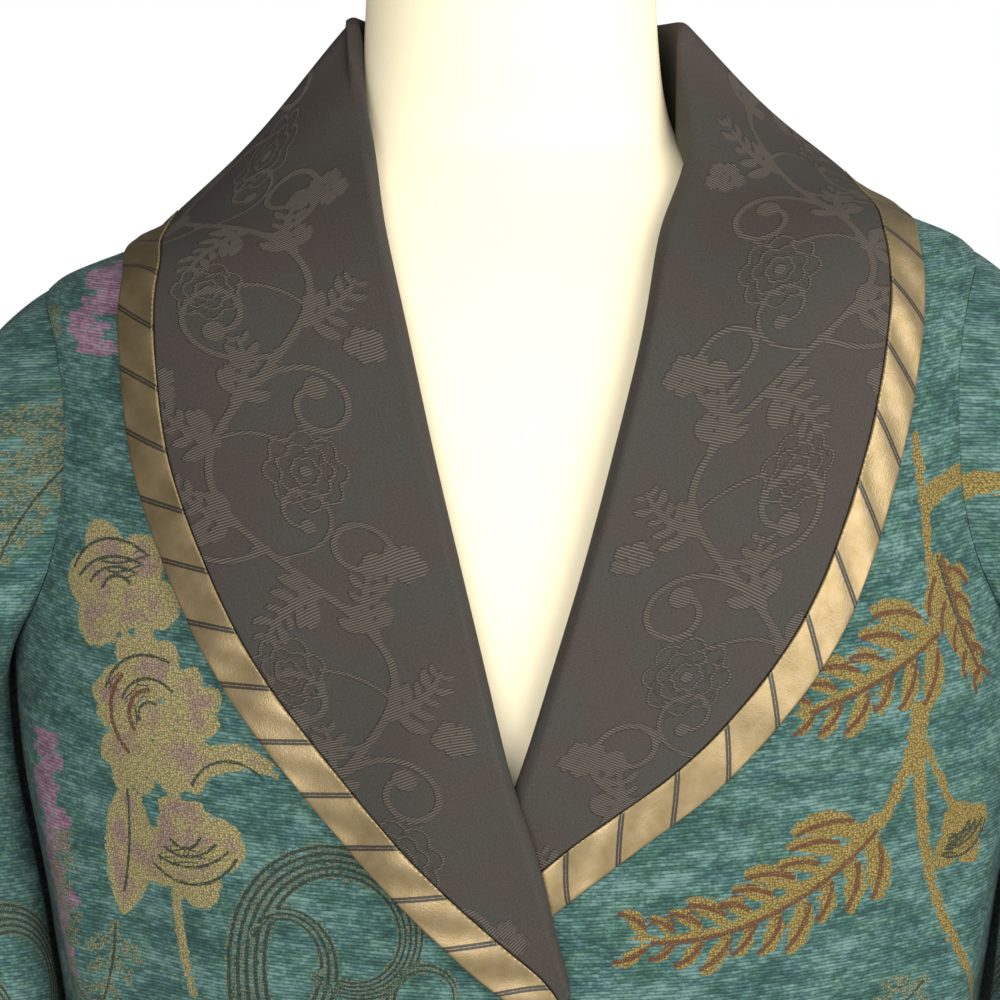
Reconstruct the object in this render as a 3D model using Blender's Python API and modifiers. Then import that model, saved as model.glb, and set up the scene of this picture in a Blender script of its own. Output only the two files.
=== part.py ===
"""A shawl-collar blazer of tapestry cloth on a limbless table-top dress form.

Metres, +Z up. The front faces -Y and the wearer's left is +X. The origin is on the surface that the
form's foot stands on, under its pole. Every cloth piece is a wall lofted through sections of one
jacket surface, so pieces that lie on each other are that surface moved out.
"""

import math
from collections import namedtuple

import bpy
import numpy as np

# Walls and gaps
CLOTH = 0.0022
COLLAR_WALL = 0.0024
BINDING_WALL = 0.0028
SEAM = 0.0003
REST_GAP = 0.0005

# Heights of the jacket
HEM_Z = 0.165
ARMPIT_Z = 0.615
SHOULDER_TIP_Z = 0.772
NECK_Z = 0.838
LAST_PLAIN_Z = 0.597

# Front closing
OVERLAP = 0.0215
STRAIGHT_EDGE_TOP_Z = 0.44
BUTTON_Z = 0.425
BUTTON_RADIUS = 0.0115
BUTTON_THICKNESS = 0.0042
BUTTON_STEPS = 20
AXIS_MERGE = 0.00005

# Armhole, as half angles each side of the shoulder ridge
ARMHOLE_FRONT = math.radians(31)
ARMHOLE_BACK = math.radians(29)
ARMHOLE_SQUARENESS = 2.4
SLEEVE_SEAM = 0.0011

# Collar
BINDING_WIDTH = 0.0195
ROLL_HEIGHT = 0.0042
LAPPED_ROLL_HEIGHT = 0.0030
FALL_HEIGHT = 0.0026
NOSE_REACH = 0.0024
NOSE_RISE = 0.0012
ROLL_RADIUS = 0.006
ROLL_FADE = 0.022
STAND_START_Z = 0.79
COVERED_Z = (0.57, 0.62)
STEEPEST_SLANT = 0.4
MOST_BAND_SHARE = 0.7
MOST_ROLL_SHARE = 0.8

# The wearer's left shoulder sits higher on its pad than the right one
SHOULDER_LIFT = 0.0175
LIFT_OUT = (0.065, 0.155)
LIFT_Z = (0.60, 0.76)

# Its side also hangs looser than the right one, between the hip and the armpit
SIDE_EASE = 0.010
EASE_OUT = (0.10, 0.20)
EASE_STARTS_Z = (0.24, 0.40)
EASE_ENDS_Z = (0.56, 0.68)

# Dress form
FORM_BOTTOM_Z = 0.1353
NECK_TOP_Z = 0.940
NECK_FOOT_Z = 0.855
NECK_CROWN = 0.006
NECK_CROWN_SHARE = 0.8
POLE_RADIUS = 0.0125
FOOT_RADIUS = 0.150
FOOT_THICKNESS = 0.008
FOOT_EDGE = 0.002

# Counts of sections and points
PLAIN_ROWS = 13
ARMHOLE_ROWS = 10
SHOULDER_ROWS = 6
FRONT_COLUMNS = 11
BACK_COLUMNS = 17
CAP_RINGS = 8
ARM_RINGS = 11
COLLAR_STATIONS = 40
STAND_COLUMNS = 2
ROLL_COLUMNS = 3
FALL_COLUMNS = 7
BINDING_COLUMNS = 3
FORM_COLUMNS = 28
NECK_RINGS = 5
FALL_SAMPLES = 60
POLE_SIDES = 24
FOOT_SIDES = 48
FOOT_EDGE_STEPS = 2
SHARP_ANGLE = math.radians(50)

# Small steps that slopes of the surface are measured over
STEP_ANGLE = 0.004
STEP_LENGTH = 0.0006
LAY_ROUNDS = 8
LONGEST_PUSH = 0.02

Ring = namedtuple("Ring", "height half_width front back roundness")
JACKET_RINGS = [
    Ring(0.120, 0.220, 0.128, 0.128, 2.30),
    Ring(0.165, 0.220, 0.128, 0.128, 2.30),
    Ring(0.260, 0.214, 0.128, 0.128, 2.30),
    Ring(0.420, 0.194, 0.124, 0.112, 2.30),
    Ring(0.500, 0.2035, 0.134, 0.111, 2.30),
    Ring(0.575, 0.2165, 0.141, 0.114, 2.30),
    Ring(0.620, 0.2195, 0.139, 0.118, 2.30),
    Ring(0.680, 0.219, 0.129, 0.121, 2.30),
    Ring(0.730, 0.217, 0.115, 0.120, 2.30),
    Ring(0.760, 0.2125, 0.102, 0.115, 2.25),
    Ring(0.775, 0.2010, 0.093, 0.109, 2.20),
    Ring(0.790, 0.1665, 0.083, 0.102, 2.10),
    Ring(0.805, 0.1360, 0.072, 0.095, 2.05),
    Ring(0.820, 0.1100, 0.061, 0.088, 2.00),
    Ring(0.840, 0.0760, 0.049, 0.078, 2.00),
    Ring(0.860, 0.0670, 0.052, 0.070, 2.00),
    Ring(0.900, 0.0630, 0.060, 0.060, 2.00),
    Ring(0.950, 0.0620, 0.066, 0.053, 2.00),
]

# How far the form lies inside the jacket's outer face, at the ridge, in front and behind
Inset = namedtuple("Inset", "height ridge front back")
FORM_INSETS = [
    Inset(0.120, 0.022, 0.016, 0.016),
    Inset(0.420, 0.020, 0.018, 0.016),
    Inset(0.575, 0.022, 0.014, 0.012),
    Inset(0.680, 0.034, 0.014, 0.012),
    Inset(0.760, 0.016, 0.012, 0.011),
    Inset(0.778, CLOTH + REST_GAP, 0.011, 0.010),
    Inset(0.842, CLOTH + REST_GAP, 0.007, 0.007),
    Inset(0.870, 0.0035, 0.004, 0.004),
    Inset(0.950, 0.0035, 0.004, 0.004),
]

# How far the wearer's right front stands off to lap over the left one
Lap = namedtuple("Lap", "height depth")
LAPS = [
    Lap(0.120, 0.0036),
    Lap(0.430, 0.0040),
    Lap(0.475, 0.0080),
    Lap(0.565, 0.0080),
    Lap(0.650, 0.0),
    Lap(0.900, 0.0),
]
LAP_FULL_OUT = 0.030
LAP_NONE_OUT = 0.080

# Lapel stations from the tip up, with distances out from the centre front on the piece's own side
Lapel = namedtuple("Lapel", "roll_out roll_z edge_out edge_z")
RIGHT_LAPEL = [
    Lapel(-0.0205, 0.478, -0.0215, 0.455),
    Lapel(-0.0160, 0.495, 0.0074, 0.478),
    Lapel(-0.0078, 0.530, 0.0530, 0.521),
    Lapel(0.0026, 0.5605, 0.0880, 0.560),
    Lapel(0.0143, 0.609, 0.1200, 0.6025),
    Lapel(0.0247, 0.652, 0.1435, 0.650),
    Lapel(0.0354, 0.697, 0.1590, 0.695),
    Lapel(0.0474, 0.752, 0.1655, 0.742),
    Lapel(0.0574, 0.796, 0.1650, 0.772),
]
LEFT_LAPEL = [
    Lapel(-0.0205, 0.492, -0.0215, 0.469),
    Lapel(-0.0158, 0.507, 0.0030, 0.497),
    Lapel(-0.0062, 0.533, 0.0447, 0.530),
    Lapel(0.0066, 0.566, 0.0875, 0.562),
    Lapel(0.0204, 0.610, 0.1250, 0.606),
    Lapel(0.0332, 0.652, 0.1500, 0.652),
    Lapel(0.0452, 0.697, 0.1660, 0.697),
    Lapel(0.0590, 0.752, 0.1740, 0.738),
    Lapel(0.0672, 0.797, 0.1735, 0.769),
]

# Collar stations round the neck: where the seam and the outer edge lie on the jacket, as angles from
# the shoulder ridge (front positive), and how the roll stands above the seam
Neck = namedtuple("Neck", "seam_deg seam_z rise_out rise_y rise_z edge_deg edge_z")
RIGHT_NECK_START = Neck(57, 0.818, 0.000, 0.015, 0.022, 23, 0.780)
LEFT_NECK_START = Neck(51.5, 0.818, 0.002, 0.013, 0.022, 21, 0.780)
NECK_STATIONS = [
    Neck(32, 0.832, -0.007, 0.010, 0.036, 11, 0.785),
    Neck(14, 0.838, -0.009, 0.005, 0.046, 5, 0.787),
    Neck(0, 0.838, -0.010, 0.000, 0.053, 0, 0.7885),
    Neck(-42, 0.838, -0.004, -0.007, 0.057, -32, 0.786),
    Neck(-68, 0.838, -0.0016, -0.0085, 0.059, -60, 0.792),
    Neck(-90, 0.838, 0.000, -0.009, 0.060, -90, 0.798),
]

# Sleeve sections below the armpit
Arm = namedtuple("Arm", "height centre_out centre_y half_out half_deep")
SLEEVE_RINGS = [
    Arm(0.570, 0.2587, -0.006, 0.0405, 0.069),
    Arm(0.500, 0.2500, -0.010, 0.0405, 0.066),
    Arm(0.420, 0.2415, -0.016, 0.0390, 0.061),
    Arm(0.330, 0.2455, -0.026, 0.0370, 0.056),
    Arm(0.250, 0.2520, -0.035, 0.0335, 0.051),
    Arm(0.205, 0.2545, -0.040, 0.0320, 0.049),
]
CAP_OUT_PULL = 0.155
CAP_DOWN_PULL = 0.22
CAP_FORWARD = -0.25
CAP_DROP = -0.55
CAP_UNDER_DROP = -0.9

# Largest folds of the panels: angle from the side, its drift down the fold, heights, width, depth
Fold = namedtuple("Fold", "panel angle_deg drift_deg top bottom width_deg depth")
PANEL_FOLDS = [
    Fold("front_right", 19, 18, 0.614, 0.340, 7, 0.0065),
    Fold("front_right", 41, 6, 0.600, 0.400, 8, -0.0035),
    Fold("front_right", 62, 6, 0.400, 0.150, 9, 0.0045),
    Fold("front_left", 22, 10, 0.614, 0.330, 7, 0.0050),
    Fold("front_left", 46, 6, 0.480, 0.170, 9, 0.0040),
    Fold("front_left", 66, -6, 0.440, 0.260, 8, -0.0030),
    Fold("back", -24, -8, 0.612, 0.340, 7, 0.0050),
    Fold("back", -58, 8, 0.460, 0.150, 9, 0.0045),
    Fold("back", -122, -8, 0.450, 0.150, 9, 0.0045),
    Fold("back", -156, 8, 0.612, 0.350, 7, 0.0050),
]

# Largest folds across the sleeves: height, its slant over the width, angle round the arm, sizes
Crease = namedtuple("Crease", "side height slant angle_deg spread_deg thickness depth")
SLEEVE_CREASES = [
    Crease(-1, 0.520, 0.040, 60, 60, 0.022, -0.0045),
    Crease(-1, 0.415, -0.030, 95, 55, 0.020, -0.0055),
    Crease(-1, 0.365, 0.030, 300, 60, 0.022, -0.0045),
    Crease(1, 0.540, -0.040, 70, 60, 0.022, -0.0045),
    Crease(1, 0.430, 0.030, 100, 55, 0.020, -0.0055),
    Crease(1, 0.350, -0.025, 290, 60, 0.022, -0.0045),
]

# The button's outline from the middle of its face to the middle of its back, in shares of its size
Turning = namedtuple("Turning", "out rise")
BUTTON_PROFILE = [
    Turning(0.00, 0.55),
    Turning(0.62, 0.55),
    Turning(0.76, 1.00),
    Turning(0.92, 0.80),
    Turning(1.00, 0.00),
    Turning(0.86, -1.00),
    Turning(0.00, -1.00),
]

Finish = namedtuple("Finish", "color roughness metallic")
TAPESTRY = Finish((0.035, 0.130, 0.135), 0.92, 0.0)
DAMASK = Finish((0.045, 0.040, 0.038), 0.75, 0.0)
GOLD_STRIPE = Finish((0.380, 0.270, 0.110), 0.45, 0.0)
HORN = Finish((0.030, 0.026, 0.022), 0.35, 0.0)
JERSEY = Finish((0.880, 0.830, 0.720), 0.85, 0.0)
STEEL = Finish((0.550, 0.550, 0.560), 0.30, 1.0)


# Curves and blends

def smooth(at, knots, values):
    """A cubic through (knots, values) that never overshoots them, read at the places `at`."""
    knots, values = np.asarray(knots, float), np.asarray(values, float)
    at = np.clip(np.asarray(at, float), knots[0], knots[-1])
    step = np.diff(knots)
    rise = np.diff(values) / step
    slope = np.zeros_like(values)
    slope[0], slope[-1] = rise[0], rise[-1]
    for k in range(1, len(values) - 1):
        if rise[k - 1] * rise[k] > 0:
            before, after = 2 * step[k] + step[k - 1], step[k] + 2 * step[k - 1]
            slope[k] = (before + after) / (before / rise[k - 1] + after / rise[k])
    k = np.clip(np.searchsorted(knots, at, side="right") - 1, 0, len(step) - 1)
    t = (at - knots[k]) / step[k]
    start = (1 + 2 * t) * (1 - t) ** 2 * values[k] + t * (1 - t) ** 2 * step[k] * slope[k]
    end = t * t * (3 - 2 * t) * values[k + 1] + t * t * (t - 1) * step[k] * slope[k + 1]
    return start + end


def column(table, name, height):
    """One column of a table of sections, read at a height."""
    rows = sorted(table, key=lambda row: row.height)
    return smooth(height, [row.height for row in rows], [getattr(row, name) for row in rows])


def ramp(value, low, high):
    """0 below low, 1 above high, with a soft start and end."""
    t = np.clip((np.asarray(value, float) - low) / (high - low), 0, 1)
    return t * t * (3 - 2 * t)


def unit(vectors):
    """Vectors of length one."""
    return vectors / np.maximum(np.linalg.norm(vectors, axis=-1, keepdims=True), 1e-12)


# The jacket surface

def signed_power(value, power):
    """|value| to a power, with the sign of value."""
    return np.sign(value) * np.abs(value) ** power


def jacket_point(angle, height):
    """Points of the jacket's outer face: angle 0 is the side, pi/2 the centre front, -pi/2 the back."""
    angle, height = np.broadcast_arrays(np.asarray(angle, float), np.asarray(height, float))
    power = 2 / column(JACKET_RINGS, "roundness", height)
    front, back = column(JACKET_RINGS, "front", height), column(JACKET_RINGS, "back", height)
    sine = np.sin(angle)
    out = column(JACKET_RINGS, "half_width", height) * signed_power(np.cos(angle), power)
    y = -np.where(sine > 0, front, back) * signed_power(sine, power)
    return np.stack([out, y, height], axis=-1)


def jacket_normal(angle, height):
    """Outward directions of the jacket's outer face."""
    around = jacket_point(angle + STEP_ANGLE, height) - jacket_point(angle - STEP_ANGLE, height)
    up = jacket_point(angle, height + STEP_LENGTH) - jacket_point(angle, height - STEP_LENGTH)
    return unit(np.cross(up, around))


def angle_at(out, height):
    """The angle on the front face at a distance out from the centre."""
    share = np.asarray(out) / column(JACKET_RINGS, "half_width", height)
    roundness = column(JACKET_RINGS, "roundness", height)
    return np.arccos(np.clip(signed_power(share, roundness / 2), -1, 1))


def fullness(points):
    """1 on the jacket's outer face, less inside and more outside."""
    out, y, height = np.moveaxis(points, -1, 0)
    roundness = column(JACKET_RINGS, "roundness", height)
    front, back = column(JACKET_RINGS, "front", height), column(JACKET_RINGS, "back", height)
    deep = np.abs(y) / np.where(y < 0, front, back)
    wide = np.abs(out) / column(JACKET_RINGS, "half_width", height)
    return (wide**roundness + deep**roundness) ** (1 / roundness)


def lay_on(points, height):
    """Points moved out until they are at least a height above the jacket's outer face."""
    moved = points.copy()
    shifts = np.eye(3) * STEP_LENGTH
    for _ in range(LAY_ROUNDS):
        rises = [fullness(moved + shift) - fullness(moved - shift) for shift in shifts]
        slope = np.stack(rises, axis=-1) / (2 * STEP_LENGTH)
        steepness = np.linalg.norm(slope, axis=-1)
        above = (fullness(moved) - 1) / steepness
        push = np.clip(height - above, 0, LONGEST_PUSH)
        moved = moved + slope / steepness[..., None] * push[..., None]
    return moved


def settle(points):
    """The finished places of points, with the wearer's left shoulder lifted and left side eased."""
    out, height = points[..., 0], points[..., 2]
    ease = ramp(height, *EASE_STARTS_Z) * (1 - ramp(height, *EASE_ENDS_Z))
    settled = points.copy()
    settled[..., 0] += SIDE_EASE * ramp(out, *EASE_OUT) * ease
    settled[..., 2] += SHOULDER_LIFT * ramp(out, *LIFT_OUT) * ramp(height, *LIFT_Z)
    return settled


def lap_depth(out, height):
    """How far the right front stands off, at a distance out from the centre and a height."""
    return column(LAPS, "depth", height) * (1 - ramp(out, LAP_FULL_OUT, LAP_NONE_OUT))


def on_side(points, side):
    """Points of the +X side moved to a side of the body."""
    return points * np.array([side, 1, 1])


# Meshes

def new_object(name, points, faces, finish):
    """A mesh object with its own material, in the blazer's collection."""
    mesh = bpy.data.meshes.new(name)
    mesh.from_pydata([tuple(p) for p in points], [], faces)
    mesh.update()
    return place(bpy.data.objects.new(name, mesh), finish)


def place(thing, finish):
    """Puts an object in the blazer's collection, gives it its material and shades it smooth."""
    for holder in list(thing.users_collection):
        holder.objects.unlink(thing)
    BLAZER.objects.link(thing)
    material = bpy.data.materials.new(thing.name)
    material.use_nodes = True
    shader = material.node_tree.nodes["Principled BSDF"]
    shader.inputs["Base Color"].default_value = (*finish.color, 1)
    shader.inputs["Roughness"].default_value = finish.roughness
    shader.inputs["Metallic"].default_value = finish.metallic
    thing.data.materials.append(material)
    thing.data.shade_smooth()
    thing.data.set_sharp_from_angle(angle=SHARP_ANGLE)
    return thing


def wall(name, outer, inner, finish, tube=False):
    """A closed cloth wall lofted between two grids of points, rows by columns."""
    rows, columns = outer.shape[:2]
    count = rows * columns
    points = np.concatenate([outer.reshape(-1, 3), inner.reshape(-1, 3)])
    spans = columns if tube else columns - 1
    faces = []

    def corner(row, col, layer):
        return layer * count + row * columns + col % columns

    for row in range(rows - 1):
        for col in range(spans):
            quad = [(row, col), (row, col + 1), (row + 1, col + 1), (row + 1, col)]
            faces.append([corner(r, c, 0) for r, c in quad])
            faces.append([corner(r, c, 1) for r, c in reversed(quad)])
    for row, turn in ((0, -1), (rows - 1, 1)):
        for col in range(spans):
            quad = [(row, col, 0), (row, col + 1, 0), (row, col + 1, 1), (row, col, 1)]
            faces.append([corner(*c) for c in quad[::turn]])
    if not tube:
        for col, turn in ((0, 1), (columns - 1, -1)):
            for row in range(rows - 1):
                quad = [(row, col, 0), (row + 1, col, 0), (row + 1, col, 1), (row, col, 1)]
                faces.append([corner(*c) for c in quad[::turn]])
    return face_outward(new_object(name, points, faces, finish))


def face_outward(thing):
    """Turns a closed mesh's faces round if they point inwards."""
    mesh = thing.data
    volume = 0.0
    for face in mesh.polygons:
        volume += face.center.dot(face.normal) * face.area
    if volume < 0:
        mesh.flip_normals()
    return thing


def grid_normals(grid, tube=False):
    """Directions square to a grid of points."""
    along = np.gradient(grid, axis=0)
    if tube:
        across = np.roll(grid, -1, axis=1) - np.roll(grid, 1, axis=1)
    else:
        across = np.gradient(grid, axis=1)
    return unit(np.cross(along, across))


# Panels

def plain_levels():
    """Heights of the sections from the hem to just under the armhole."""
    return np.linspace(HEM_Z, LAST_PLAIN_Z, PLAIN_ROWS)


def armhole_levels():
    """Heights of the sections along the armhole, closer at its two ends."""
    share = (1 - np.cos(np.linspace(0, math.pi, ARMHOLE_ROWS + 1))) / 2
    return ARMPIT_Z + (SHOULDER_TIP_Z - ARMPIT_Z) * share


def shoulder_levels():
    """Heights of the sections over the shoulder, from its tip to the neck."""
    return np.linspace(SHOULDER_TIP_Z, NECK_Z, SHOULDER_ROWS + 1)[1:]


def panel_levels():
    """Heights of all sections of the fronts and the back."""
    return np.concatenate([plain_levels(), armhole_levels(), shoulder_levels()])


def armhole_angle(height, widest):
    """Half angle of the armhole at a height."""
    share = np.clip((height - ARMPIT_Z) / (SHOULDER_TIP_Z - ARMPIT_Z), 0, 1)
    return widest * (1 - np.abs(2 * share - 1) ** ARMHOLE_SQUARENESS) ** (1 / ARMHOLE_SQUARENESS)


def seam_angle(height):
    """Half of the seam's gap, as an angle at the side or the shoulder ridge."""
    depth = column(JACKET_RINGS, "front", height)
    return SEAM / 2 / depth


def fold_depth(panel, angle, height):
    """How far the largest folds move a panel out."""
    total = np.zeros(np.broadcast(angle, height).shape)
    for fold in PANEL_FOLDS:
        if fold.panel == panel:
            down = np.clip((fold.top - height) / (fold.top - fold.bottom), 0, 1)
            middle = np.radians(fold.angle_deg + fold.drift_deg * down)
            across = np.exp(-(((angle - middle) / math.radians(fold.width_deg)) ** 2))
            total = total + fold.depth * across * np.sin(math.pi * down) ** 2
    return total


def collar_rows(side):
    """The lapel's rows and the neck's rows of one half of the collar."""
    if side < 0:
        return RIGHT_LAPEL, [RIGHT_NECK_START] + NECK_STATIONS
    return LEFT_LAPEL, [LEFT_NECK_START] + NECK_STATIONS


def front_edge_out(side, height):
    """Where a front ends towards the centre: its edge, then the roll line, then the neck seam."""
    lapel, neck = collar_rows(side)
    heights = [HEM_Z, STRAIGHT_EDGE_TOP_Z] + [row.roll_z for row in lapel]
    outs = [-OVERLAP, -OVERLAP] + [row.roll_out for row in lapel]
    for station in neck:
        if station.seam_deg > 0:
            heights.append(station.seam_z)
            outs.append(jacket_point(math.radians(station.seam_deg), station.seam_z)[0])
    return smooth(height, heights, outs)


def make_front(side):
    """One front, from its edge or roll line to the side seam, armhole and shoulder seam."""
    name = "front_right" if side < 0 else "front_left"
    height = panel_levels()[:, None]
    inner_angle = angle_at(front_edge_out(side, height), height)
    outer_angle = np.maximum(armhole_angle(height, ARMHOLE_FRONT), seam_angle(height))
    share = np.linspace(0, 1, FRONT_COLUMNS)[None, :]
    angle = inner_angle + (outer_angle - inner_angle) * share
    points, normals = jacket_point(angle, height), jacket_normal(angle, height)
    points = points + normals * fold_depth(name, angle, height)[..., None]
    if side < 0:
        points[..., 1] -= lap_depth(points[..., 0], points[..., 2])
    outer, inner = on_side(points, side), on_side(points - normals * CLOTH, side)
    return wall(name, settle(outer), settle(inner), TAPESTRY)


def make_back():
    """The back, in one piece from side seam to side seam and up to the neck."""
    height = panel_levels()[:, None]
    edge = -np.maximum(armhole_angle(height, ARMHOLE_BACK), seam_angle(height))
    share = np.linspace(0, 1, BACK_COLUMNS)[None, :]
    angle = edge + (-math.pi - 2 * edge) * share
    points, normals = jacket_point(angle, height), jacket_normal(angle, height)
    points = points + normals * fold_depth("back", angle, height)[..., None]
    return wall("back", settle(points), settle(points - normals * CLOTH), TAPESTRY)


# Sleeves

def armhole_loop():
    """The sleeve's upper edge: from the shoulder tip down the front to the armpit and up the back."""
    levels = armhole_levels()
    front = jacket_point(armhole_angle(levels, ARMHOLE_FRONT), levels)
    back = jacket_point(-armhole_angle(levels, ARMHOLE_BACK), levels)
    loop = np.concatenate([front[::-1], back[1:-1]])
    inward = unit(loop.mean(axis=0) - loop)
    return loop + inward * SLEEVE_SEAM


def sleeve_ring(height):
    """One section of the sleeve below the armpit, starting at its outer side and going to the front."""
    turn = np.linspace(0, 2 * math.pi, 2 * ARMHOLE_ROWS, endpoint=False)
    centre_out = column(SLEEVE_RINGS, "centre_out", height)
    centre_y = column(SLEEVE_RINGS, "centre_y", height)
    out = centre_out + column(SLEEVE_RINGS, "half_out", height) * np.cos(turn)
    y = centre_y - column(SLEEVE_RINGS, "half_deep", height) * np.sin(turn)
    return np.stack([out, y, np.full_like(out, height)], axis=-1)


def sleeve_cap(loop, ring, following):
    """Sections from the armhole out over the cap and down to the first full ring and the one after."""
    turn = np.linspace(0, 2 * math.pi, len(loop), endpoint=False)
    under = (1 - np.cos(turn)) / 2
    forward, drop = CAP_FORWARD * np.sin(turn), CAP_DROP + CAP_UNDER_DROP * under
    leave = np.stack([np.ones_like(under), forward, drop], axis=-1)
    reach = np.linalg.norm(ring - loop, axis=-1, keepdims=True)
    top_reach = reach[0]
    leave = unit(leave) * CAP_OUT_PULL * reach / top_reach
    arrive = unit(following - ring) * CAP_DOWN_PULL * reach / top_reach
    sections = []
    for t in np.linspace(0, 1, CAP_RINGS, endpoint=False):
        start = (1 + 2 * t) * (1 - t) ** 2 * loop + t * (1 - t) ** 2 * leave
        sections.append(start + t * t * (3 - 2 * t) * ring + t * t * (t - 1) * arrive)
    return sections


def crease_depth(side, angle_deg, height):
    """How far the largest folds move a sleeve's wall in or out."""
    total = np.zeros(np.broadcast(angle_deg, height).shape)
    for crease in SLEEVE_CREASES:
        if crease.side == side:
            turn = (angle_deg - crease.angle_deg + 180) % 360 - 180
            middle = crease.height + crease.slant * turn / crease.spread_deg
            across = np.exp(-(((height - middle) / crease.thickness) ** 2))
            total = total + crease.depth * across * np.exp(-((turn / crease.spread_deg) ** 2))
    return total


def make_sleeve(side):
    """One sleeve, a tube that hangs empty from the armhole to its plain hem."""
    heights = np.linspace(SLEEVE_RINGS[0].height, SLEEVE_RINGS[-1].height, ARM_RINGS)
    rings = [sleeve_ring(height) for height in heights]
    grid = np.array(sleeve_cap(armhole_loop(), *rings[:2]) + rings)
    normals = grid_normals(grid, tube=True)
    away = grid - grid.mean(axis=1, keepdims=True)
    normals = normals * np.sign(np.sum(normals * away))
    angle = np.linspace(0, 360, grid.shape[1], endpoint=False)[None, :]
    grid = grid + normals * crease_depth(side, angle, grid[..., 2])[..., None]
    outer, inner = on_side(grid, side), on_side(grid - normals * CLOTH, side)
    name = "sleeve_right" if side < 0 else "sleeve_left"
    return wall(name, settle(outer), settle(inner), TAPESTRY, tube=True)


# Collar and its binding

def collar_stations(side):
    """Seam, roll and edge places for evenly spread stations, from the lapel's tip to the centre back."""
    lapel, neck = collar_rows(side)
    rows = []
    for row in lapel:
        seam, edge = angle_at(row.roll_out, row.roll_z), angle_at(row.edge_out, row.edge_z)
        rows.append((seam, row.roll_z, 0, 0, 0, edge, row.edge_z, 0))
    for row in neck:
        seam, edge = math.radians(row.seam_deg), math.radians(row.edge_deg)
        upright = ramp(row.seam_z, STAND_START_Z, NECK_Z)
        rise = (row.rise_out, row.rise_y, row.rise_z)
        rows.append((seam, row.seam_z, *rise, edge, row.edge_z, upright))
    table = np.array(rows, float)
    at = np.linspace(0, len(rows) - 1, COLLAR_STATIONS)
    stations = np.stack([smooth(at, np.arange(len(rows)), table[:, k]) for k in range(8)], axis=-1)
    on_front = at < len(lapel) + sum(row.seam_deg > 0 for row in neck) - 1
    heights = stations[on_front, 1]
    stations[on_front, 0] = angle_at(front_edge_out(side, heights), heights)
    return stations


def along_curve(points, distances):
    """Points at given distances along a polyline."""
    length = np.concatenate([[0], np.cumsum(np.linalg.norm(np.diff(points, axis=0), axis=1))])
    return np.stack([np.interp(distances, length, points[:, k]) for k in range(3)], axis=-1)


def band_widths(stations):
    """Width of the binding along each section, which crosses the edge at a slant."""
    seam, edge = jacket_point(*stations[:, :2].T), jacket_point(*stations[:, 5:7].T)
    slant = np.cross(unit(np.gradient(edge, axis=0)), unit(edge - seam))
    return BINDING_WIDTH / np.maximum(np.linalg.norm(slant, axis=-1), STEEPEST_SLANT)


def away_from_panel(stations):
    """Directions in the cloth's surface, square to the seam and pointing off the panel."""
    seam, normal = jacket_point(*stations[:, :2].T), jacket_normal(*stations[:, :2].T)
    away = unit(np.cross(normal, np.gradient(seam, axis=0)))
    return away * np.where(away[:, :1] * -1 + away[:, 2:] < 0, -1, 1)


def collar_section(side, station, away, band_width):
    """One section of the collar and its binding: the stand or nose, the roll, the fall, the band."""
    seam_at, seam_z, rise_out, rise_y, rise_z, edge_at, edge_z, upright = station
    seam, normal = jacket_point(seam_at, seam_z), jacket_normal(seam_at, seam_z)
    lap = lap_depth(seam[0], seam_z) if side < 0 else 0.0
    covered = 0.0 if side < 0 else 1 - ramp(seam_z, *COVERED_Z)
    roll_height = ROLL_HEIGHT + (LAPPED_ROLL_HEIGHT - ROLL_HEIGHT) * covered
    base = seam + np.array([0, -lap, 0])
    clear = COLLAR_WALL / 2 * (1 - upright / 2) + SEAM * 2.5
    start = base + away * clear - normal * CLOTH / 2
    nose = away * NOSE_REACH * (1 - upright) + normal * NOSE_RISE * (1 - upright)
    roll = base + nose + np.array([rise_out, rise_y, rise_z])
    edge = jacket_point(edge_at, edge_z)

    share = np.linspace(0, 1, FALL_SAMPLES)[1:, None]
    fall = roll + (edge - roll) * share
    settle_in = np.exp(-np.linalg.norm(fall - roll, axis=-1) / ROLL_FADE)
    height = FALL_HEIGHT + (roll_height - FALL_HEIGHT) * settle_in
    if side < 0:
        height = height + lap_depth(fall[:, 0], fall[:, 2])
    fall = lay_on(fall, height)

    radius = min(ROLL_RADIUS, np.linalg.norm(roll - start) * MOST_ROLL_SHARE)
    below = roll + unit(start - roll) * radius
    beyond = along_curve(np.concatenate([[roll], fall]), [ROLL_RADIUS])[0]
    stand = start + (below - start) * np.linspace(0, 1, STAND_COLUMNS, endpoint=False)[:, None]
    bend = np.linspace(0, 1, ROLL_COLUMNS)[:, None]
    arc = (1 - bend) ** 2 * below + 2 * bend * (1 - bend) * roll + bend**2 * beyond
    rest = np.concatenate([[beyond], fall[np.linalg.norm(fall - roll, axis=-1) > ROLL_RADIUS]])
    length = np.linalg.norm(np.diff(rest, axis=0), axis=1).sum()
    band = min(band_width, length * MOST_BAND_SHARE)
    fall_at = np.linspace(0, length - band, FALL_COLUMNS)[1:]
    band_at = np.linspace(length - band + SEAM, length, BINDING_COLUMNS)
    return np.concatenate([stand, arc, along_curve(rest, fall_at), along_curve(rest, band_at)])


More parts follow.
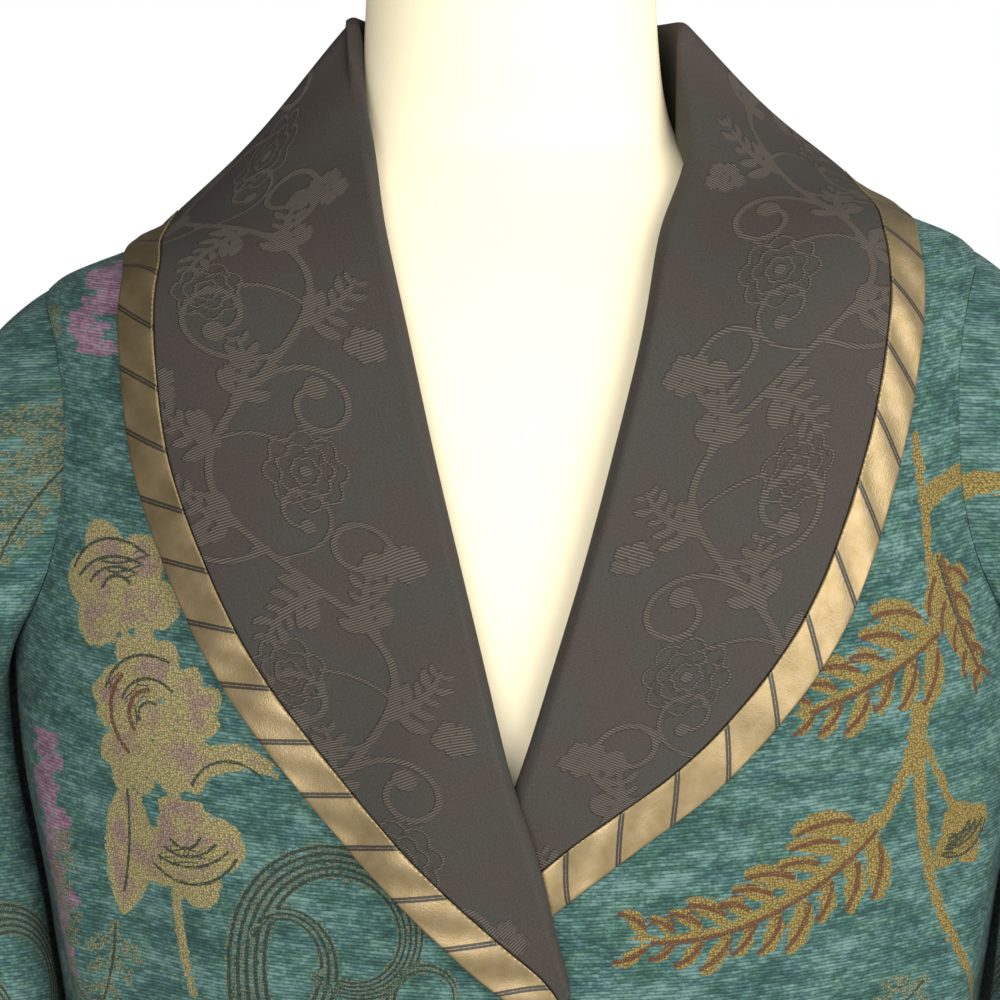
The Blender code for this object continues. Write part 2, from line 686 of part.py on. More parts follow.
def make_collar(side):
    """One half of the shawl collar, and the striped binding along its outer edge."""
    stations = collar_stations(side)
    sections = zip(stations, away_from_panel(stations), band_widths(stations))
    grid = np.array([collar_section(side, *section) for section in sections])
    normals = grid_normals(grid)
    normals = normals * np.sign(np.sum(normals[:, -1] * (grid[:, -1] - grid.mean(axis=0)[-1])))
    normals[-1, :, 0] = 0
    normals[-1] = unit(normals[-1])
    grid[-1, :, 0] = SEAM / 2
    black = grid.shape[1] - BINDING_COLUMNS
    hand = "right" if side < 0 else "left"
    for name, columns, thick, finish in (
        ("collar", slice(0, black), COLLAR_WALL, DAMASK),
        ("binding", slice(black, None), BINDING_WALL, GOLD_STRIPE),
    ):
        shift = normals[:, columns] * thick / 2
        outer, inner = on_side(grid[:, columns] + shift, side), on_side(grid[:, columns] - shift, side)
        wall(f"{name}_{hand}", settle(outer), settle(inner), finish)


# Button

def make_button():
    """The button that holds the fronts, turned about an axis that points out of the cloth."""
    levels = plain_levels()
    depth = lap_depth(0, levels) - jacket_point(math.pi / 2, levels)[:, 1]
    low, high = BUTTON_Z - BUTTON_RADIUS, BUTTON_Z + BUTTON_RADIUS
    below, middle, above = np.interp([low, BUTTON_Z, high], levels, depth)
    seat = max(middle, (below + above) / 2) + REST_GAP
    tilt = math.atan2(below - above, high - low)
    half = BUTTON_THICKNESS / 2
    profile = [(row.out * BUTTON_RADIUS, 0, row.rise * half) for row in BUTTON_PROFILE]
    mesh = bpy.data.meshes.new("button")
    edges = [(k, k + 1) for k in range(len(profile) - 1)]
    mesh.from_pydata(profile, edges, [])
    button = place(bpy.data.objects.new("button", mesh), HORN)
    turned = button.modifiers.new("Turned", "SCREW")
    turned.steps = turned.render_steps = BUTTON_STEPS
    turned.use_merge_vertices = True
    turned.merge_threshold = AXIS_MERGE
    button.location = (0, -seat - half / math.cos(tilt), BUTTON_Z)
    button.rotation_euler = (math.pi / 2 - tilt, 0, 0)
    return button


# Dress form

def form_ring(height):
    """One section of the form, inside the jacket's face by the form's insets."""
    angle = np.linspace(0, 2 * math.pi, FORM_COLUMNS, endpoint=False)
    angle = (angle + math.pi) % (2 * math.pi) - math.pi
    deep = np.abs(np.sin(angle))
    ridge = column(FORM_INSETS, "ridge", height)
    facing = np.where(angle > 0, column(FORM_INSETS, "front", height), column(FORM_INSETS, "back", height))
    inset = ridge + (facing - ridge) * deep
    signed = np.where(np.abs(angle) > math.pi / 2, np.sign(angle) * math.pi - angle, angle)
    points = jacket_point(signed, height) - jacket_normal(signed, height) * inset[:, None]
    points[:, 0] *= np.where(np.abs(angle) > math.pi / 2, -1, 1)
    return points


def make_form_body():
    """The form's torso and neck, closed at the hip and by a low crown at the neck."""
    low = np.concatenate([[FORM_BOTTOM_Z], plain_levels()[1:]])
    heights = np.concatenate([low, armhole_levels()[::2], shoulder_levels()])
    heights = np.concatenate([heights, np.linspace(NECK_FOOT_Z, NECK_TOP_Z, NECK_RINGS)])
    rings = [form_ring(height) for height in heights]
    rings[0][:, 2] = FORM_BOTTOM_Z
    rings[-1][:, 2] = NECK_TOP_Z
    centre = rings[-1].mean(axis=0)
    crown = centre + (rings[-1] - centre) * NECK_CROWN_SHARE + np.array([0, 0, NECK_CROWN])
    rings.append(crown)
    points = np.concatenate(rings)
    faces = []
    for row in range(len(rings) - 1):
        for col in range(FORM_COLUMNS):
            after = (col + 1) % FORM_COLUMNS
            low, high = row * FORM_COLUMNS, (row + 1) * FORM_COLUMNS
            faces.append([low + col, low + after, high + after, high + col])
    faces.append(list(range(FORM_COLUMNS))[::-1])
    faces.append([(len(rings) - 1) * FORM_COLUMNS + col for col in range(FORM_COLUMNS)])
    return face_outward(new_object("form_body", points, faces, JERSEY))


def make_stand():
    """The round steel foot and the short pole that carries the form."""
    top = FORM_BOTTOM_Z - SEAM
    bottom = FOOT_THICKNESS + SEAM
    bpy.ops.mesh.primitive_cylinder_add(
        vertices=POLE_SIDES, radius=POLE_RADIUS, depth=top - bottom, location=(0, 0, (top + bottom) / 2)
    )
    pole = bpy.context.object
    pole.name = "form_pole"
    place(pole, STEEL)
    bpy.ops.mesh.primitive_cylinder_add(
        vertices=FOOT_SIDES, radius=FOOT_RADIUS, depth=FOOT_THICKNESS, location=(0, 0, FOOT_THICKNESS / 2)
    )
    foot = bpy.context.object
    foot.name = "form_foot"
    place(foot, STEEL)
    edge = foot.modifiers.new("Rounded edge", "BEVEL")
    edge.width = FOOT_EDGE
    edge.segments = FOOT_EDGE_STEPS
    edge.limit_method = "ANGLE"
    return pole, foot


for old in list(bpy.data.objects):
    bpy.data.objects.remove(old)
BLAZER = bpy.data.collections.new("Blazer on dress form")
bpy.context.scene.collection.children.link(BLAZER)

for wearer_side in (-1, 1):
    make_front(wearer_side)
    make_sleeve(wearer_side)
    make_collar(wearer_side)
make_back()
make_button()
make_form_body()
make_stand()
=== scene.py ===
"""Dresses the blazer and its dress form: fine cloth walls, woven flowers, stitches, light and camera.

Metres, +Z up. The blazer's front faces -Y and the wearer's left is +X. A piece on the wearer's right
has side -1 and one on the left has side +1, and "out" is the distance from the centre front on the
piece's own side.
"""

import logging
import math
from dataclasses import dataclass, field
from enum import Enum
from typing import Any, Iterable, Sequence

import bpy
import numpy as np
from mathutils import Matrix, Vector


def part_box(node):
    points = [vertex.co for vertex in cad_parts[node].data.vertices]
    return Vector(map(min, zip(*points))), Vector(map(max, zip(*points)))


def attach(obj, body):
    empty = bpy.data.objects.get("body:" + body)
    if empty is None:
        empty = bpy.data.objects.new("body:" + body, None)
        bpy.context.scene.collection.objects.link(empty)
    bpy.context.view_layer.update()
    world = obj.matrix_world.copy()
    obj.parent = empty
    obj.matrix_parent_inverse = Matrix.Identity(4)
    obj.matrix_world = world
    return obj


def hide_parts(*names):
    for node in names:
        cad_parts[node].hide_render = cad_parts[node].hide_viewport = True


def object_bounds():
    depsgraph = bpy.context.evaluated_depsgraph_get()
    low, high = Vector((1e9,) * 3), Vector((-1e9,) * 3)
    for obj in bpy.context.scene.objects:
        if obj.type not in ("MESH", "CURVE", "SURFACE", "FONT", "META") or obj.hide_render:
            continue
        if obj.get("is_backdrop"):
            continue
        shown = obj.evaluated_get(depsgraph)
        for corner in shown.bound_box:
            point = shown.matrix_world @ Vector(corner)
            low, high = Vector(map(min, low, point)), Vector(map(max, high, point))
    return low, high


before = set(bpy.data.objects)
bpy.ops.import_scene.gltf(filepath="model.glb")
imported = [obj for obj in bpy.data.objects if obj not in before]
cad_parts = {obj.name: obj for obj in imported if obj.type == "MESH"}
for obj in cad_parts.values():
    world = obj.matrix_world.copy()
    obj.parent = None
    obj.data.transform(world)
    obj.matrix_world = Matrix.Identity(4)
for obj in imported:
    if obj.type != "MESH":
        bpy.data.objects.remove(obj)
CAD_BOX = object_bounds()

LOG = logging.getLogger("blazer")
Array = np.ndarray
RIGHT, LEFT = -1, 1

# Walls and seams, as the blazer is cut
CLOTH = 0.0022
COLLAR_WALL = 0.0024
BINDING_WALL = 0.0028
SEAM = 0.0003

HEM_Z = 0.165
ARMPIT_Z = 0.615
SHOULDER_TIP_Z = 0.772
NECK_Z = 0.838
OVERLAP = 0.0215
STRAIGHT_EDGE_TOP_Z = 0.44
LAST_PLAIN_Z = 0.597
ARMHOLE_SQUARENESS = 2.4

# The wearer's left shoulder sits higher on its pad than the right one, and the left side hangs looser
SHOULDER_LIFT = 0.0175
LIFT_OUT = (0.065, 0.155)
LIFT_Z = (0.60, 0.76)
SIDE_EASE = 0.010
EASE_OUT = (0.10, 0.20)
EASE_STARTS_Z = (0.24, 0.40)
EASE_ENDS_Z = (0.56, 0.68)

# Every INNER_STRIDE-th point of a wall's outer face has a partner on the inner one
INNER_STRIDE = 4
# Distances of the extra points beside a cut edge, so that its turn stays sharp
EDGE_TAIL = (0.00012, 0.0003, 0.0006, 0.0011)
# A wall's faces that meet at more than this angle keep a hard edge
SHARP_DEG = 60


@dataclass(frozen=True)
class Ring:
    """A level section of the jacket: half width, depths in front and behind, and roundness."""

    height: float
    half_width: float
    front: float
    back: float
    roundness: float


@dataclass(frozen=True)
class Inset:
    """How far the form lies inside the jacket at a height, at the ridge, in front and behind."""

    height: float
    ridge: float
    front: float
    back: float


@dataclass(frozen=True)
class Lap:
    """How far the right front stands off at a height to lap over the left one."""

    height: float
    depth: float


@dataclass(frozen=True)
class Arm:
    """A level section of a sleeve below the armpit."""

    height: float
    centre_out: float
    centre_y: float
    half_out: float
    half_deep: float


@dataclass(frozen=True)
class Lapel:
    """A station of the lapel: where it rolls and where its outer edge lies."""

    roll_out: float
    roll_z: float
    edge_out: float
    edge_z: float


@dataclass(frozen=True)
class Neck:
    """A station of the collar round the neck, with angles from the shoulder ridge, front positive."""

    seam_deg: float
    seam_z: float
    rise_out: float
    rise_y: float
    rise_z: float
    edge_deg: float
    edge_z: float


@dataclass(frozen=True)
class Fold:
    """A large fold down a panel."""

    panel: str
    angle_deg: float
    drift_deg: float
    top: float
    bottom: float
    width_deg: float
    depth: float


@dataclass(frozen=True)
class Crease:
    """A large fold across a sleeve."""

    side: int
    height: float
    slant: float
    angle_deg: float
    spread_deg: float
    thickness: float
    depth: float


JACKET_RINGS = (
    Ring(0.120, 0.220, 0.128, 0.128, 2.30),
    Ring(0.165, 0.220, 0.128, 0.128, 2.30),
    Ring(0.260, 0.214, 0.128, 0.128, 2.30),
    Ring(0.420, 0.194, 0.124, 0.112, 2.30),
    Ring(0.500, 0.2035, 0.134, 0.111, 2.30),
    Ring(0.575, 0.2165, 0.141, 0.114, 2.30),
    Ring(0.620, 0.2195, 0.139, 0.118, 2.30),
    Ring(0.680, 0.219, 0.129, 0.121, 2.30),
    Ring(0.730, 0.217, 0.115, 0.120, 2.30),
    Ring(0.760, 0.2125, 0.102, 0.115, 2.25),
    Ring(0.775, 0.2010, 0.093, 0.109, 2.20),
    Ring(0.790, 0.1665, 0.083, 0.102, 2.10),
    Ring(0.805, 0.1315, 0.072, 0.095, 2.05),
    Ring(0.820, 0.1060, 0.061, 0.088, 2.00),
    Ring(0.840, 0.0760, 0.049, 0.078, 2.00),
    Ring(0.860, 0.0710, 0.052, 0.070, 2.00),
    Ring(0.900, 0.0680, 0.060, 0.060, 2.00),
    Ring(0.950, 0.0670, 0.066, 0.053, 2.00),
)
REST_GAP = 0.0005
FORM_INSETS = (
    Inset(0.120, 0.022, 0.016, 0.016),
    Inset(0.420, 0.020, 0.018, 0.016),
    Inset(0.575, 0.022, 0.014, 0.012),
    Inset(0.680, 0.034, 0.014, 0.012),
    Inset(0.760, 0.016, 0.012, 0.011),
    Inset(0.778, CLOTH + REST_GAP, 0.011, 0.010),
    Inset(0.842, CLOTH + REST_GAP, 0.007, 0.007),
    Inset(0.870, 0.0035, 0.004, 0.004),
    Inset(0.950, 0.0035, 0.004, 0.004),
)
LAPS = (
    Lap(0.120, 0.0036),
    Lap(0.430, 0.0040),
    Lap(0.475, 0.0080),
    Lap(0.565, 0.0080),
    Lap(0.650, 0.0),
    Lap(0.900, 0.0),
)
LAP_OUT = (0.030, 0.080)
RIGHT_LAPEL = (
    Lapel(-0.0205, 0.478, -0.0215, 0.455),
    Lapel(-0.0160, 0.495, 0.0074, 0.478),
    Lapel(-0.0078, 0.530, 0.0530, 0.521),
    Lapel(0.0026, 0.5605, 0.0880, 0.560),
    Lapel(0.0143, 0.609, 0.1200, 0.6025),
    Lapel(0.0247, 0.652, 0.1435, 0.650),
    Lapel(0.0354, 0.697, 0.1590, 0.695),
    Lapel(0.0474, 0.752, 0.1655, 0.742),
    Lapel(0.0574, 0.796, 0.1650, 0.772),
)
LEFT_LAPEL = (
    Lapel(-0.0205, 0.492, -0.0215, 0.469),
    Lapel(-0.0158, 0.507, 0.0030, 0.497),
    Lapel(-0.0062, 0.533, 0.0447, 0.530),
    Lapel(0.0066, 0.566, 0.0875, 0.562),
    Lapel(0.0204, 0.610, 0.1250, 0.606),
    Lapel(0.0332, 0.652, 0.1500, 0.652),
    Lapel(0.0452, 0.697, 0.1660, 0.697),
    Lapel(0.0590, 0.752, 0.1740, 0.738),
    Lapel(0.0672, 0.797, 0.1735, 0.769),
)
BACK_NECK = (
    Neck(-42, 0.838, -0.004, -0.007, 0.057, -32, 0.786),
    Neck(-68, 0.838, -0.0016, -0.0085, 0.059, -60, 0.792),
    Neck(-90, 0.838, 0.000, -0.009, 0.060, -90, 0.798),
)
RIGHT_NECK = (
    Neck(55.5, 0.818, 0.000, 0.015, 0.022, 24.5, 0.784),
    Neck(31, 0.832, -0.007, 0.010, 0.038, 12, 0.790),
    Neck(14, 0.838, -0.009, 0.005, 0.049, 5, 0.7922),
    Neck(0, 0.838, -0.009, 0.000, 0.056, 0, 0.793),
    *BACK_NECK,
)
LEFT_NECK = (
    Neck(44, 0.818, 0.002, 0.013, 0.022, 23, 0.783),
    Neck(26, 0.832, -0.001, 0.010, 0.036, 12, 0.790),
    Neck(13, 0.838, -0.001, 0.005, 0.047, 5, 0.7922),
    Neck(0, 0.838, -0.002, 0.000, 0.054, 0, 0.793),
    *BACK_NECK,
)
SLEEVE_RINGS = (
    Arm(0.570, 0.2587, -0.006, 0.0405, 0.069),
    Arm(0.500, 0.2500, -0.010, 0.0405, 0.066),
    Arm(0.420, 0.2415, -0.016, 0.0390, 0.061),
    Arm(0.330, 0.2455, -0.026, 0.0370, 0.056),
    Arm(0.250, 0.2520, -0.035, 0.0335, 0.051),
    Arm(0.205, 0.2545, -0.040, 0.0320, 0.049),
)
PANEL_FOLDS = (
    Fold("front_right", 19, 18, 0.614, 0.340, 7, 0.0065),
    Fold("front_right", 41, 6, 0.600, 0.400, 8, -0.0035),
    Fold("front_right", 62, 6, 0.400, 0.150, 9, 0.0045),
    Fold("front_left", 22, 10, 0.614, 0.330, 7, 0.0050),
    Fold("front_left", 46, 6, 0.480, 0.170, 9, 0.0040),
    Fold("front_left", 66, -6, 0.440, 0.260, 8, -0.0030),
    Fold("back", -24, -8, 0.612, 0.340, 7, 0.0050),
    Fold("back", -58, 8, 0.460, 0.150, 9, 0.0045),
    Fold("back", -122, -8, 0.450, 0.150, 9, 0.0045),
    Fold("back", -156, 8, 0.612, 0.350, 7, 0.0050),
)
SLEEVE_CREASES = (
    Crease(RIGHT, 0.520, 0.040, 60, 60, 0.022, -0.0045),
    Crease(RIGHT, 0.415, -0.030, 95, 55, 0.020, -0.0055),
    Crease(RIGHT, 0.365, 0.030, 300, 60, 0.022, -0.0045),
    Crease(LEFT, 0.540, -0.040, 70, 60, 0.022, -0.0045),
    Crease(LEFT, 0.430, 0.030, 100, 55, 0.020, -0.0055),
    Crease(LEFT, 0.350, -0.025, 290, 60, 0.022, -0.0045),
)


# Curves and blends


def smooth(at: Any, knots: Sequence[float], values: Sequence[float]) -> Array:
    """A cubic through knots and values that never overshoots them.

    Args:
        at: where to read it.
        knots: rising places of the values.
        values: the values there.

    Returns:
        The curve at each place.
    """
    places, heights = np.asarray(knots, float), np.asarray(values, float)
    at = np.clip(np.asarray(at, float), places[0], places[-1])
    step = np.diff(places)
    rise = np.diff(heights) / step
    slope = np.zeros_like(heights)
    slope[0], slope[-1] = rise[0], rise[-1]
    for k in range(1, len(heights) - 1):
        if rise[k - 1] * rise[k] > 0:
            before, after = 2 * step[k] + step[k - 1], step[k] + 2 * step[k - 1]
            slope[k] = (before + after) / (before / rise[k - 1] + after / rise[k])
    k = np.clip(np.searchsorted(places, at, side="right") - 1, 0, len(step) - 1)
    t = (at - places[k]) / step[k]
    start = (1 + 2 * t) * (1 - t) ** 2 * heights[k] + t * (1 - t) ** 2 * step[k] * slope[k]
    end = t * t * (3 - 2 * t) * heights[k + 1] + t * t * (t - 1) * step[k] * slope[k + 1]
    return start + end


def column(table: Iterable[Any], name: str, height: Any) -> Array:
    """One column of a table of sections, read at heights.

    Args:
        table: rows with a height.
        name: the column.
        height: where to read it.

    Returns:
        The column's value at each height.
    """
    rows = sorted(table, key=lambda row: row.height)
    return smooth(height, [row.height for row in rows], [getattr(row, name) for row in rows])


def ramp(value: Any, low: float, high: float) -> Array:
    """0 below low, 1 above high, with a soft start and end."""
    t = np.clip((np.asarray(value, float) - low) / (high - low), 0, 1)
    return t * t * (3 - 2 * t)


def unit(vectors: Array) -> Array:
    """Vectors of length one."""
    return vectors / np.maximum(np.linalg.norm(vectors, axis=-1, keepdims=True), 1e-12)


def signed_power(value: Any, power: Any) -> Array:
    """The size of a value to a power, with the value's sign."""
    return np.sign(value) * np.abs(value) ** power


def lengths(points: Array, axis: int = 0) -> Array:
    """Distance run along a grid of points from its first row or column.

    Args:
        points: the grid.
        axis: 0 along its columns, 1 along its rows.

    Returns:
        The distance at each point.
    """
    steps = np.linalg.norm(np.diff(points, axis=axis), axis=-1)
    start = np.zeros_like(np.take(steps, [0], axis=axis))
    return np.concatenate([start, np.cumsum(steps, axis=axis)], axis=axis)


def along(points: Array, distances: Array) -> Array:
    """Points at given distances along a polyline."""
    run = lengths(points)
    return np.stack([np.interp(distances, run, points[:, k]) for k in range(3)], axis=-1)


def eased(values: Array, reach: int = 7) -> Array:
    """Values smoothed along their first axis over a reach of places, with both ends kept.

    Args:
        values: what is smoothed.
        reach: the blur's spread in places.

    Returns:
        The smoothed values.
    """
    half = 3 * reach
    before = 2 * values[:1] - values[half:0:-1]
    after = 2 * values[-1:] - values[-2 : -half - 2 : -1]
    padded = np.concatenate([before, values, after])
    weights = np.exp(-0.5 * (np.arange(-half, half + 1) / reach) ** 2)
    total = sum(w * padded[k : k + len(values)] for k, w in enumerate(weights))
    return total / weights.sum()


def closer_at_ends(count: int, length: float, tail: Sequence[float]) -> Array:
    """Shares from 0 to 1 for about count even points, with more points close to both ends.

    Args:
        count: how many even points are wanted.
        length: the real length that the shares divide.
        tail: extra distances from each end.

    Returns:
        Rising shares, one more than a whole number of inner strides.
    """
    near = np.asarray(tail) / length
    spare = (-(count + 2 * len(near) - 1)) % INNER_STRIDE
    even = np.linspace(near[-1] * 1.6, 1 - near[-1] * 1.6, count - 2 + spare)
    return np.concatenate([[0], near, even, 1 - near[::-1], [1]])


# The jacket's surface


class Jacket:
    """The blazer's outer face as one surface of level rings, which every piece is cut from."""

    STEP_ANGLE = 0.004
    STEP_LENGTH = 0.0006
    PUSHES = 8
    LARGEST_PUSH = 0.02

    def point(self, angle: Any, height: Any) -> Array:
        """Points of the face.

        Args:
            angle: 0 at the side, a quarter turn at the centre front, minus that at the back.
            height: their heights.

        Returns:
            The points, on the wearer's left.
        """
        angle, height = np.broadcast_arrays(np.asarray(angle, float), np.asarray(height, float))
        power = 2 / column(JACKET_RINGS, "roundness", height)
        sine = np.sin(angle)
        depth = np.where(
            sine > 0, column(JACKET_RINGS, "front", height), column(JACKET_RINGS, "back", height)
        )
        out = column(JACKET_RINGS, "half_width", height) * signed_power(np.cos(angle), power)
        return np.stack([out, -depth * signed_power(sine, power), height], axis=-1)

    def normal(self, angle: Any, height: Any) -> Array:
        """Outward directions of the face.

        Args:
            angle: the points' angles.
            height: their heights.

        Returns:
            Directions of length one.
        """
        angle, height = np.broadcast_arrays(np.asarray(angle, float), np.asarray(height, float))
        turn, lift = self.STEP_ANGLE, self.STEP_LENGTH
        around = self.point(angle + turn, height) - self.point(angle - turn, height)
        up = self.point(angle, height + lift) - self.point(angle, height - lift)
        return unit(np.cross(up, around))

    def angle_at(self, out: Any, height: Any) -> Array:
        """The angle on the front at a distance out from the centre.

        Args:
            out: the distance.
            height: the point's height.

        Returns:
            The angle.
        """
        share = np.asarray(out) / column(JACKET_RINGS, "half_width", height)
        return np.arccos(
            np.clip(signed_power(share, column(JACKET_RINGS, "roundness", height) / 2), -1, 1)
        )

    def fullness(self, points: Array) -> Array:
        """1 on the face, less inside and more outside.

        Args:
            points: any points.

        Returns:
            The share of the way out that each has gone.
        """
        out, y, height = np.moveaxis(points, -1, 0)
        roundness = column(JACKET_RINGS, "roundness", height)
        front, back = column(JACKET_RINGS, "front", height), column(JACKET_RINGS, "back", height)
        deep = np.abs(y) / np.where(y < 0, front, back)
        wide = np.abs(out) / column(JACKET_RINGS, "half_width", height)
        return (wide**roundness + deep**roundness) ** (1 / roundness)

    def lay_on(self, points: Array, height: Array) -> Array:
        """Points moved out until they are at least a height above the face.

        Args:
            points: any points.
            height: how far above the face each has to be.

        Returns:
            The moved points.
        """
        moved = points.copy()
        shifts = np.eye(3) * self.STEP_LENGTH
        for _ in range(self.PUSHES):
            rises = [self.fullness(moved + s) - self.fullness(moved - s) for s in shifts]
            slope = np.stack(rises, axis=-1) / (2 * self.STEP_LENGTH)
            steepness = np.linalg.norm(slope, axis=-1)
            push = np.clip(height - (self.fullness(moved) - 1) / steepness, 0, self.LARGEST_PUSH)
            moved = moved + slope / steepness[..., None] * push[..., None]
        return moved

    @staticmethod
    def settle(points: Array) -> Array:
        """The finished places of points, with the wearer's left shoulder lifted and left side eased.

        Args:
            points: points of an even jacket.

        Returns:
            The points as the jacket hangs.
        """
        out, height = points[..., 0], points[..., 2]
        ease = ramp(height, *EASE_STARTS_Z) * (1 - ramp(height, *EASE_ENDS_Z))
        settled = points.copy()
        settled[..., 0] += SIDE_EASE * ramp(out, *EASE_OUT) * ease
        settled[..., 2] += SHOULDER_LIFT * ramp(out, *LIFT_OUT) * ramp(height, *LIFT_Z)
        return settled

    @staticmethod
    def lap(out: Any, height: Any) -> Array:
        """How far the right front stands off to lap over the left one."""
        return column(LAPS, "depth", height) * (1 - ramp(out, *LAP_OUT))


JACKET = Jacket()


class ArmholeSide(Enum):
    """The two halves of an armhole, with the widest half angle of each."""

    FRONT = math.radians(31)
    BACK = math.radians(29)

    def angle(self, height: Any) -> Array:
        """Half angle of the armhole at a height."""
        share = np.clip((np.asarray(height) - ARMPIT_Z) / (SHOULDER_TIP_Z - ARMPIT_Z), 0, 1)
        return self.value * (1 - np.abs(2 * share - 1) ** ARMHOLE_SQUARENESS) ** (1 / ARMHOLE_SQUARENESS)


def armhole_levels(count: int) -> Array:
    """Heights along the armhole, closer at its two ends."""
    share = (1 - np.cos(np.linspace(0, math.pi, count + 1))) / 2
    return ARMPIT_Z + (SHOULDER_TIP_Z - ARMPIT_Z) * share


def hand(side: int) -> str:
    """The wearer's hand on a side."""
    return "right" if side < 0 else "left"


def on_side(points: Array, side: int) -> Array:
    """Points of the +X side moved to a side of the body."""
    return points * np.array([side, 1, 1])


# Meshes


@dataclass
class Wall:
    """A cloth wall: outer and inner grids of points, and the cloth's own coordinates of its points."""

    outer: Array
    inner: Array
    across: Array
    up: Array
    tube: bool = False
    marks: dict[str, Array] = field(default_factory=dict)

    def round_edges(self, radius: float) -> None:
        """Turns the outer face's open edges down, as a sewn edge is.

        Args:
            radius: how far from the edge the turn starts.
        """
        inward = unit(self.inner - self.outer)
        rows = lengths(self.outer, 0)
        near = np.minimum(rows, rows[-1:] - rows)
        if not self.tube:
            columns = lengths(self.outer, 1)
            near = np.minimum(near, np.minimum(columns, columns[:, -1:] - columns))
        short = 1 - np.clip(near / radius, 0, 1)
        self.outer = self.outer + inward * (radius * (1 - np.sqrt(1 - short**2)))[..., None]

    def _faces(self) -> list[list[int]]:
        """The wall's faces: the fine outer face, the coarser inner one and the rims between them.

        Returns:
            The point numbers of each face.
        """
        rows, columns = self.outer.shape[:2]
        s = INNER_STRIDE
        inner_columns = -(-columns // s)
        spans = columns if self.tube else columns - 1

        def fine(row: Any, col: Any) -> Any:
            """Number of a point of the outer face."""
            return row * columns + np.asarray(col) % columns

        def coarse(row: Any, col: Any) -> Any:
            """Number of the inner face's partner of a point."""
            return rows * columns + (row // s) * inner_columns + (col // s) % inner_columns

        r, c = np.meshgrid(np.arange(rows - 1), np.arange(spans), indexing="ij")
        quads = np.stack([fine(r, c), fine(r, c + 1), fine(r + 1, c + 1), fine(r + 1, c)], -1)
        faces = quads.reshape(-1, 4).tolist()
        r, c = np.meshgrid(np.arange(0, rows - 1, s), np.arange(0, spans, s), indexing="ij")
        back = [coarse(r + s, c), coarse(r + s, c + s), coarse(r, c + s), coarse(r, c)]
        faces += np.stack(back, -1).reshape(-1, 4).tolist()
        last = rows - 1
        for k in range(0, spans, s):
            run = [int(fine(0, j)) for j in range(k + s, k - 1, -1)]
            faces.append(run + [coarse(0, k), coarse(0, k + s)])
            run = [int(fine(last, j)) for j in range(k, k + s + 1)]
            faces.append(run + [coarse(last, k + s), coarse(last, k)])
        last = columns - 1
        for k in range(0, 0 if self.tube else rows - 1, s):
            run = [j * columns for j in range(k, k + s + 1)]
            faces.append(run + [coarse(k + s, 0), coarse(k, 0)])
            run = [j * columns + last for j in range(k + s, k - 1, -1)]
            faces.append(run + [coarse(k, last), coarse(k + s, last)])
        return faces

    def mesh(self, name: str) -> bpy.types.Mesh:
        """The closed mesh, with a fine outer face and a coarser inner one.

        Args:
            name: the mesh's name.

        Returns:
            The mesh, with the cloth's coordinates and marks as attributes.
        """
        inner, every = self.inner[::INNER_STRIDE, ::INNER_STRIDE], 2 * INNER_STRIDE
        faces = self._faces()
        sample = self.outer[::every, ::every]
        facing = np.cross(np.gradient(sample, axis=1), np.gradient(sample, axis=0))
        if np.sum(facing * (sample - self.inner[::every, ::every])) < 0:
            faces = [face[::-1] for face in faces]
        points = np.concatenate([self.outer.reshape(-1, 3), inner.reshape(-1, 3)])
        mesh = bpy.data.meshes.new(name)
        mesh.from_pydata(points.tolist(), [], faces)
        place = np.stack([self.across, self.up, np.zeros_like(self.up)], axis=-1)
        self._mark(mesh, "cloth", "FLOAT_VECTOR", place)
        for mark, values in self.marks.items():
            self._mark(mesh, mark, "FLOAT", values)
        mesh.shade_smooth()
        mesh.set_sharp_from_angle(angle=math.radians(SHARP_DEG))
        mesh.update()
        return mesh

    @staticmethod
    def _mark(mesh: bpy.types.Mesh, name: str, kind: str, values: Array) -> None:
        """Stores a value for each point of the grids as an attribute of the mesh.

        Args:
            mesh: the wall's mesh.
            name: the attribute's name.
            kind: FLOAT or FLOAT_VECTOR.
            values: a value for each point of the outer grid.
        """
        width = 3 if kind == "FLOAT_VECTOR" else 1
        grid = values.reshape(values.shape[0], values.shape[1], width)
        inner = grid[::INNER_STRIDE, ::INNER_STRIDE]
        flat = np.concatenate([grid.reshape(-1, width), inner.reshape(-1, width)])
        layer = mesh.attributes.new(name, kind, "POINT")
        key = "vector" if kind == "FLOAT_VECTOR" else "value"
        layer.data.foreach_set(key, flat.astype(np.float32).ravel())

    def flat(self) -> tuple[float, float]:
        """Width and length of the flat cut: all round on a tube, and along the strip on a band.

        Returns:
            The two sizes in metres.
        """
        if self.tube:
            around = np.linalg.norm(np.roll(self.outer, -1, axis=1) - self.outer, axis=-1).sum(axis=1)
            return float(around.max()), float(lengths(self.outer).max())
        wide, long = float(np.ptp(self.across)), float(np.ptp(self.up))
        return wide, max(long, self.area() / wide)

    def area(self) -> float:
        """Area of the outer face in square metres.

        Returns:
            The area.
        """
        grid = np.concatenate([self.outer, self.outer[:, :1]], axis=1) if self.tube else self.outer
        first, second = grid[1:, 1:] - grid[:-1, :-1], grid[1:, :-1] - grid[:-1, 1:]
        return float(np.linalg.norm(np.cross(first, second), axis=-1).sum() / 2)


def new_piece(name: str, mesh: bpy.types.Mesh) -> bpy.types.Object:
    """An object at the origin that shows a mesh.

    Args:
        name: the object's name.
        mesh: what it shows.

    Returns:
        The object.
    """
    piece = bpy.data.objects.new(name, mesh)
    bpy.context.scene.collection.objects.link(piece)
    return piece


